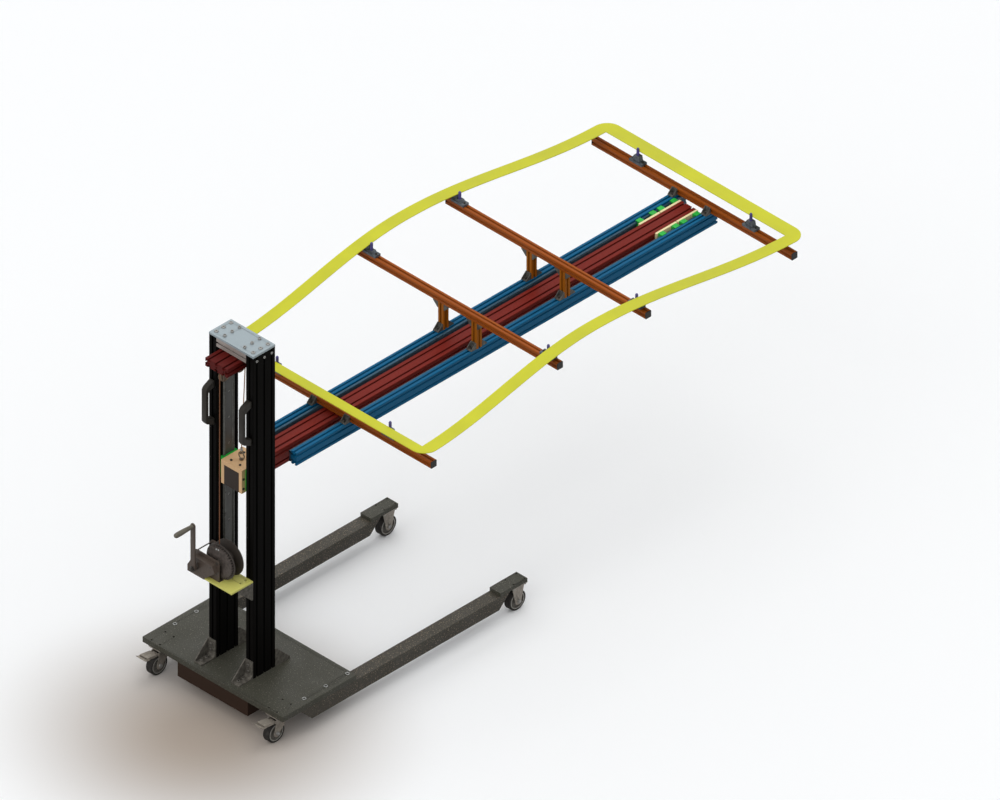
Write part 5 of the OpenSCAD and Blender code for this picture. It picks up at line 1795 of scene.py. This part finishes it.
@dataclass
class Carriage:
    """The box that runs on the mast rails, the boom, and the slides at the boom's tip.

    Lengths are in millimetres, and places along the cart count from the base plate's rear edge.

    Attributes:
        lid_screws: Places of the screws in the lid, from the middle and along the cart.
        side_screws: Heights of the screws in the side plates.
        side_row: Place of these screws along the cart.
        slide_screws: Distances of the slide plates' screws from the plates' ends.
        crimps: Distances of the ferrule's pressed rings from its top.
    """

    lid_screws: tuple[tuple[float, float], ...] = ((-24, 125), (24, 125), (-24, 195), (24, 195))
    side_screws: tuple[float, ...] = (1002, 1047)
    side_row: float = 110.0
    slide_screws: tuple[float, float] = (44.0, 66.0)
    crimps: tuple[float, ...] = (3.5, 8.0, 12.5)

    def build(self) -> None:
        """Dresses and models the carriage."""
        dress("carriage_box", Finishes.tan, edge=0.8)
        dress("carriage_back", Finishes.black_panel, edge=0.6)
        dress("carriage_bearings", Finishes.green, edge=0.5)
        dress("boom", Finishes.boom, edge=0.5)
        dress("lifting_eye", Finishes.eye)
        dress("slide_plates", Finishes.cream, edge=0.6)
        dress("slide_bearings", Finishes.green, edge=0.4)
        self.box_screws()
        self.plate_screws()
        self.ferrule_crimps()

    def box_screws(self) -> None:
        """Models the cap screws in the carriage's lid and sides."""
        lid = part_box("carriage_box")[1].z
        places = [standing(Vector((x * MM, ahead(y), lid))) for x, y in self.lid_screws]
        places += [
            outwards(side, side.end("carriage_box"), ahead(self.side_row), height * MM)
            for side in Side for height in self.side_screws
        ]
        screws("carriage_screws", Heads.carriage, places, Finishes.dark_screw, "carriage")

    def plate_screws(self) -> None:
        """Models the low screws that hold the slide plates to the boom."""
        low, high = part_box("slide_plates")
        near, far = (distance * MM for distance in self.slide_screws)
        height = middle("slide_plates").z
        places = [
            outwards(side, side.end("slide_plates"), y, height)
            for side in Side for y in (low.y + near, low.y + far, high.y - far, high.y - near)
        ]
        screws("slide_screws", Heads.slide, places, Finishes.dark_screw, "carriage")

    def ferrule_crimps(self) -> None:
        """Models the pressed rings on the ferrule above the lifting eye."""
        spot = middle("lifting_eye")
        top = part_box("lifting_eye")[1].z
        master = ring("crimp", width=3.0, thickness=1.2, radius=4.9, bevel=0.5, steps=28)
        places = [
            Matrix.Translation(Vector((spot.x, spot.y, top - down * MM))) for down in self.crimps
        ]
        settle(joined("ferrule_crimps", copies(master, places)), Finishes.bright, "carriage", "eye")


@dataclass(frozen=True)
class Bar:
    """One cross bar, with what its stop blocks and gussets need. Lengths are in millimetres.

    Attributes:
        place: Its place, from the base plate's rear edge.
        high: True where it stands on posts.
    """

    place: float
    high: bool = False

    @property
    def stop(self) -> float:
        """Distance from the middle to a stop block's middle."""
        return 479.0 if self.high else 306.0

    @property
    def stop_top(self) -> float:
        """Height of a stop block's foot over the low bars' underside."""
        return 160.0 if self.high else 40.0

    @property
    def clamps(self) -> tuple[float, ...]:
        """Distances of a stop block's screws from its middle."""
        return (-25.5,) if self.high else (-25.5, 25.5)


@dataclass
class SlidingFrame:
    """Beams, bars, posts, stop blocks, pins and the curved panel frame.

    Lengths are in millimetres, and places along the cart count from the base plate's rear edge.

    Attributes:
        rod_reach: Distance from a beam rail's middle to its rods.
        beam: Distance from the middle to a beam's middle.
        gusset_foot: Distance from a bar's middle to the screw in a gusset's foot.
        gusset_flange: Thickness of a small gusset's foot.
        bars: The cross bars.
    """

    rod_reach: float = 19.0
    beam: float = 90.0
    gusset_foot: float = 31.0
    gusset_flange: float = 3.0
    bars: tuple[Bar, ...] = (Bar(656), Bar(1340, True), Bar(1818, True), Bar(2610))

    def build(self) -> None:
        """Dresses and models the sliding frame."""
        dress("beams", Finishes.beam, edge=0.5)
        dress("beam_rails", Finishes.beam_rail)
        dress("cross_bars", Finishes.bar, edge=0.5)
        dress("bar_posts", Finishes.bar_post, edge=0.4)
        dress("bar_gussets", Finishes.small_gusset, edge=0.5)
        dress("stop_blocks", Finishes.stop, edge=0.6)
        dress("stop_pins", Finishes.purple)
        dress("bar_caps", Finishes.cap, edge=0.5)
        dress("panel_frame", Finishes.strip, edge=0.5)
        Rods("beam_rails", "sliding_frame", Along.Y, self.rod_reach, Finishes.beam_rod).build()
        self.gusset_screws()
        self.stop_screws()

    def gusset_screws(self) -> None:
        """Models the screws in the feet of the small gussets that stand on the beams."""
        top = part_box("beams")[1].z + self.gusset_flange * MM
        places = []
        for side in Side:
            for bar in self.bars:
                for part in (-1, 1) if bar.high else (-1,):
                    y = ahead(bar.place + part * self.gusset_foot)
                    places.append(standing(Vector((side.value * self.beam * MM, y, top))))
        screws("gusset_screws", Heads.gusset, places, Finishes.dark_screw, "sliding_frame")

    def stop_screws(self) -> None:
        """Models the screws that clamp the stop blocks to the bars."""
        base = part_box("cross_bars")[0].z
        places = []
        for side in Side:
            for bar in self.bars:
                for spot in bar.clamps:
                    x = side.value * (bar.stop + spot) * MM
                    point = Vector((x, ahead(bar.place), base + bar.stop_top * MM))
                    places.append(standing(point))
        screws("stop_screws", Heads.stop, places, Finishes.dark_screw, "sliding_frame")


def seen_straight(tree: bpy.types.NodeTree) -> Socket:
    """One for what the camera sees, also in a mirror or through glass, and nought for soft light.

    Args:
        tree: The node tree to add to.

    Returns:
        The value's socket.
    """
    path = tree.nodes.new("ShaderNodeLightPath")
    seen = path.outputs["Is Camera Ray"]
    for ray in ("Is Glossy Ray", "Is Transmission Ray"):
        either = tree.nodes.new("ShaderNodeMath")
        either.operation = "MAXIMUM"
        tree.links.new(seen, either.inputs[0])
        tree.links.new(path.outputs[ray], either.inputs[1])
        seen = either.outputs[0]
    return seen


def mixed(tree: bpy.types.NodeTree, unseen: Socket, seen: Socket, surface: Socket) -> None:
    """Gives an output one shader for what the camera sees and another for soft light.

    Args:
        tree: The node tree to add to.
        unseen: The shader for soft light.
        seen: The shader for what the camera sees.
        surface: The output's input.
    """
    mix = tree.nodes.new("ShaderNodeMixShader")
    tree.links.new(seen_straight(tree), mix.inputs[0])
    tree.links.new(unseen, mix.inputs[1])
    tree.links.new(seen, mix.inputs[2])
    tree.links.new(mix.outputs[0], surface)


def towards(back: Vector) -> Euler:
    """The turn of a lamp or camera that stands in a direction and looks back along it."""
    return (-back).to_track_quat("-Z", "Y").to_euler()


@dataclass(frozen=True)
class Lamp:
    """A wide soft light that comes from one direction.

    Attributes:
        name: The light's name.
        source: The direction that it comes from.
        strength: Its strength, in watts per square metre.
        angle: How wide it is, in degrees.
    """

    name: str
    source: Rgb
    strength: float
    angle: float

    def build(self) -> None:
        """Adds the light."""
        data = bpy.data.lights.new(self.name, "SUN")
        data.energy = self.strength
        data.angle = math.radians(self.angle)
        lamp = bpy.data.objects.new(self.name, data)
        lamp.rotation_euler = towards(Vector(self.source))
        bpy.context.collection.objects.link(lamp)


@dataclass
class Studio:
    """The floor, the lights and the camera.

    Attributes:
        spread: Half the floor's width, in metres.
        picture: The width that the picture covers at the cart, in metres.
        aim: The floor point at the picture's middle, in the part's own millimetres.
        distance: How far from that point the camera stands, in metres.
        patch: The middle of the painted shadow round the base, in the part's own millimetres.
        patch_reach: Where the painted shadow starts to fade and where it ends, in metres.
        patch_colour: Colour of the painted shadow, tinted warm as painted bounced light.
        floor_colour: Colour of the rest of the floor.
        floor_echo: How much light the floor gives back to the cart.
        sky: Colour of the sky's soft light.
        sky_strength: Strength of that light.
        lamps: The lights.
    """

    spread: float = 30.0
    picture: float = 3.8298
    aim: tuple[float, float] = (-667.6, 2224.3)
    distance: float = 9.0
    patch: tuple[float, float] = (90.0, -150.0)
    patch_reach: tuple[float, float] = (0.05, 1.0)
    patch_colour: Rgb = screen(174, 161, 149)
    floor_colour: Rgb = screen(252, 252, 252)
    floor_echo: float = 0.18
    sky: Rgb = (0.88, 0.94, 1.0)
    sky_strength: float = 0.18
    lamps: tuple[Lamp, ...] = (
        Lamp("key", (-0.05, 0.2, 1.0), 0.45, 40.0),
        Lamp("dome", (0.0, 0.1, 1.0), 1.75, 130.0),
        Lamp("fill", (0.25, -1.0, 0.5), 1.1, 60.0),
    )

    def build(self) -> None:
        """Makes the studio."""
        self.camera()
        self.floor()
        self.world()
        for lamp in self.lamps:
            lamp.build()

    def camera(self) -> None:
        """Looks from behind right, from above, in parallel, as the photo does."""
        data = bpy.data.cameras.new("camera")
        data.type = "ORTHO"
        data.ortho_scale = self.picture
        data.clip_end = 2 * self.spread
        camera = bpy.data.objects.new("camera", data)
        back = Vector((1, -1, 1)).normalized()
        camera.location = at(*self.aim, 0) + back * self.distance
        camera.rotation_euler = towards(back)
        bpy.context.collection.objects.link(camera)
        bpy.context.scene.camera = camera

    def floor(self) -> None:
        """Lays a white floor that gives back little light, with a painted shadow round the base."""
        clear_selection()
        bpy.ops.mesh.primitive_grid_add(
            x_subdivisions=4, y_subdivisions=4, size=2 * self.spread
        )
        floor = fresh("floor")
        graph = Graph("floor_paper")
        distance = graph.node("VectorMath", operation="DISTANCE")
        distance.inputs[1].default_value = at(*self.patch, 0)
        graph.link(graph.place(), distance.inputs[0])
        reach = graph.node("MapRange", interpolation_type="SMOOTHSTEP")
        for edge, where in zip(("From Min", "From Max"), self.patch_reach):
            reach.inputs[edge].default_value = where
        graph.link(distance.outputs["Value"], reach.inputs["Value"])
        colour = graph.ramp(reach.outputs[0], 0.0, 1.0, self.patch_colour, self.floor_colour)
        graph.feed("Base Color", colour)
        graph.value("Roughness", 0.9)
        graph.value("Specular IOR Level", 0.1)
        dull = graph.node("BsdfDiffuse")
        dull.inputs["Color"].default_value = (*(self.floor_echo,) * 3, 1.0)
        mixed(graph.tree, dull.outputs[0], graph.shader.outputs[0], graph.output.inputs["Surface"])
        floor.data.materials.append(graph.material)

    def world(self) -> None:
        """Sets a soft even sky, which shows as a plain pale one."""
        world = bpy.data.worlds.new("studio")
        bpy.context.scene.world = world
        world.use_nodes = True
        tree = world.node_tree
        tree.nodes.clear()
        output = tree.nodes.new("ShaderNodeOutputWorld")
        soft = tree.nodes.new("ShaderNodeBackground")
        soft.inputs["Color"].default_value = (*self.sky, 1.0)
        soft.inputs["Strength"].default_value = self.sky_strength
        pale = tree.nodes.new("ShaderNodeBackground")
        mixed(tree, soft.outputs[0], pale.outputs[0], output.inputs["Surface"])


def main() -> None:
    """Builds the studio and every sub-assembly in order."""
    logging.basicConfig(level=logging.INFO, format="%(name)s: %(message)s")
    bpy.context.scene.view_settings.view_transform = "Standard"
    parts = (
        Studio(), Base(), ChassisScrews(), Casters(), Mast(), Winch(), CablePath(), Carriage(),
        SlidingFrame(),
    )
    for part in parts:
        part.build()
        log.info("%s is built", type(part).__name__)


if __name__ == "__main__":
    main()
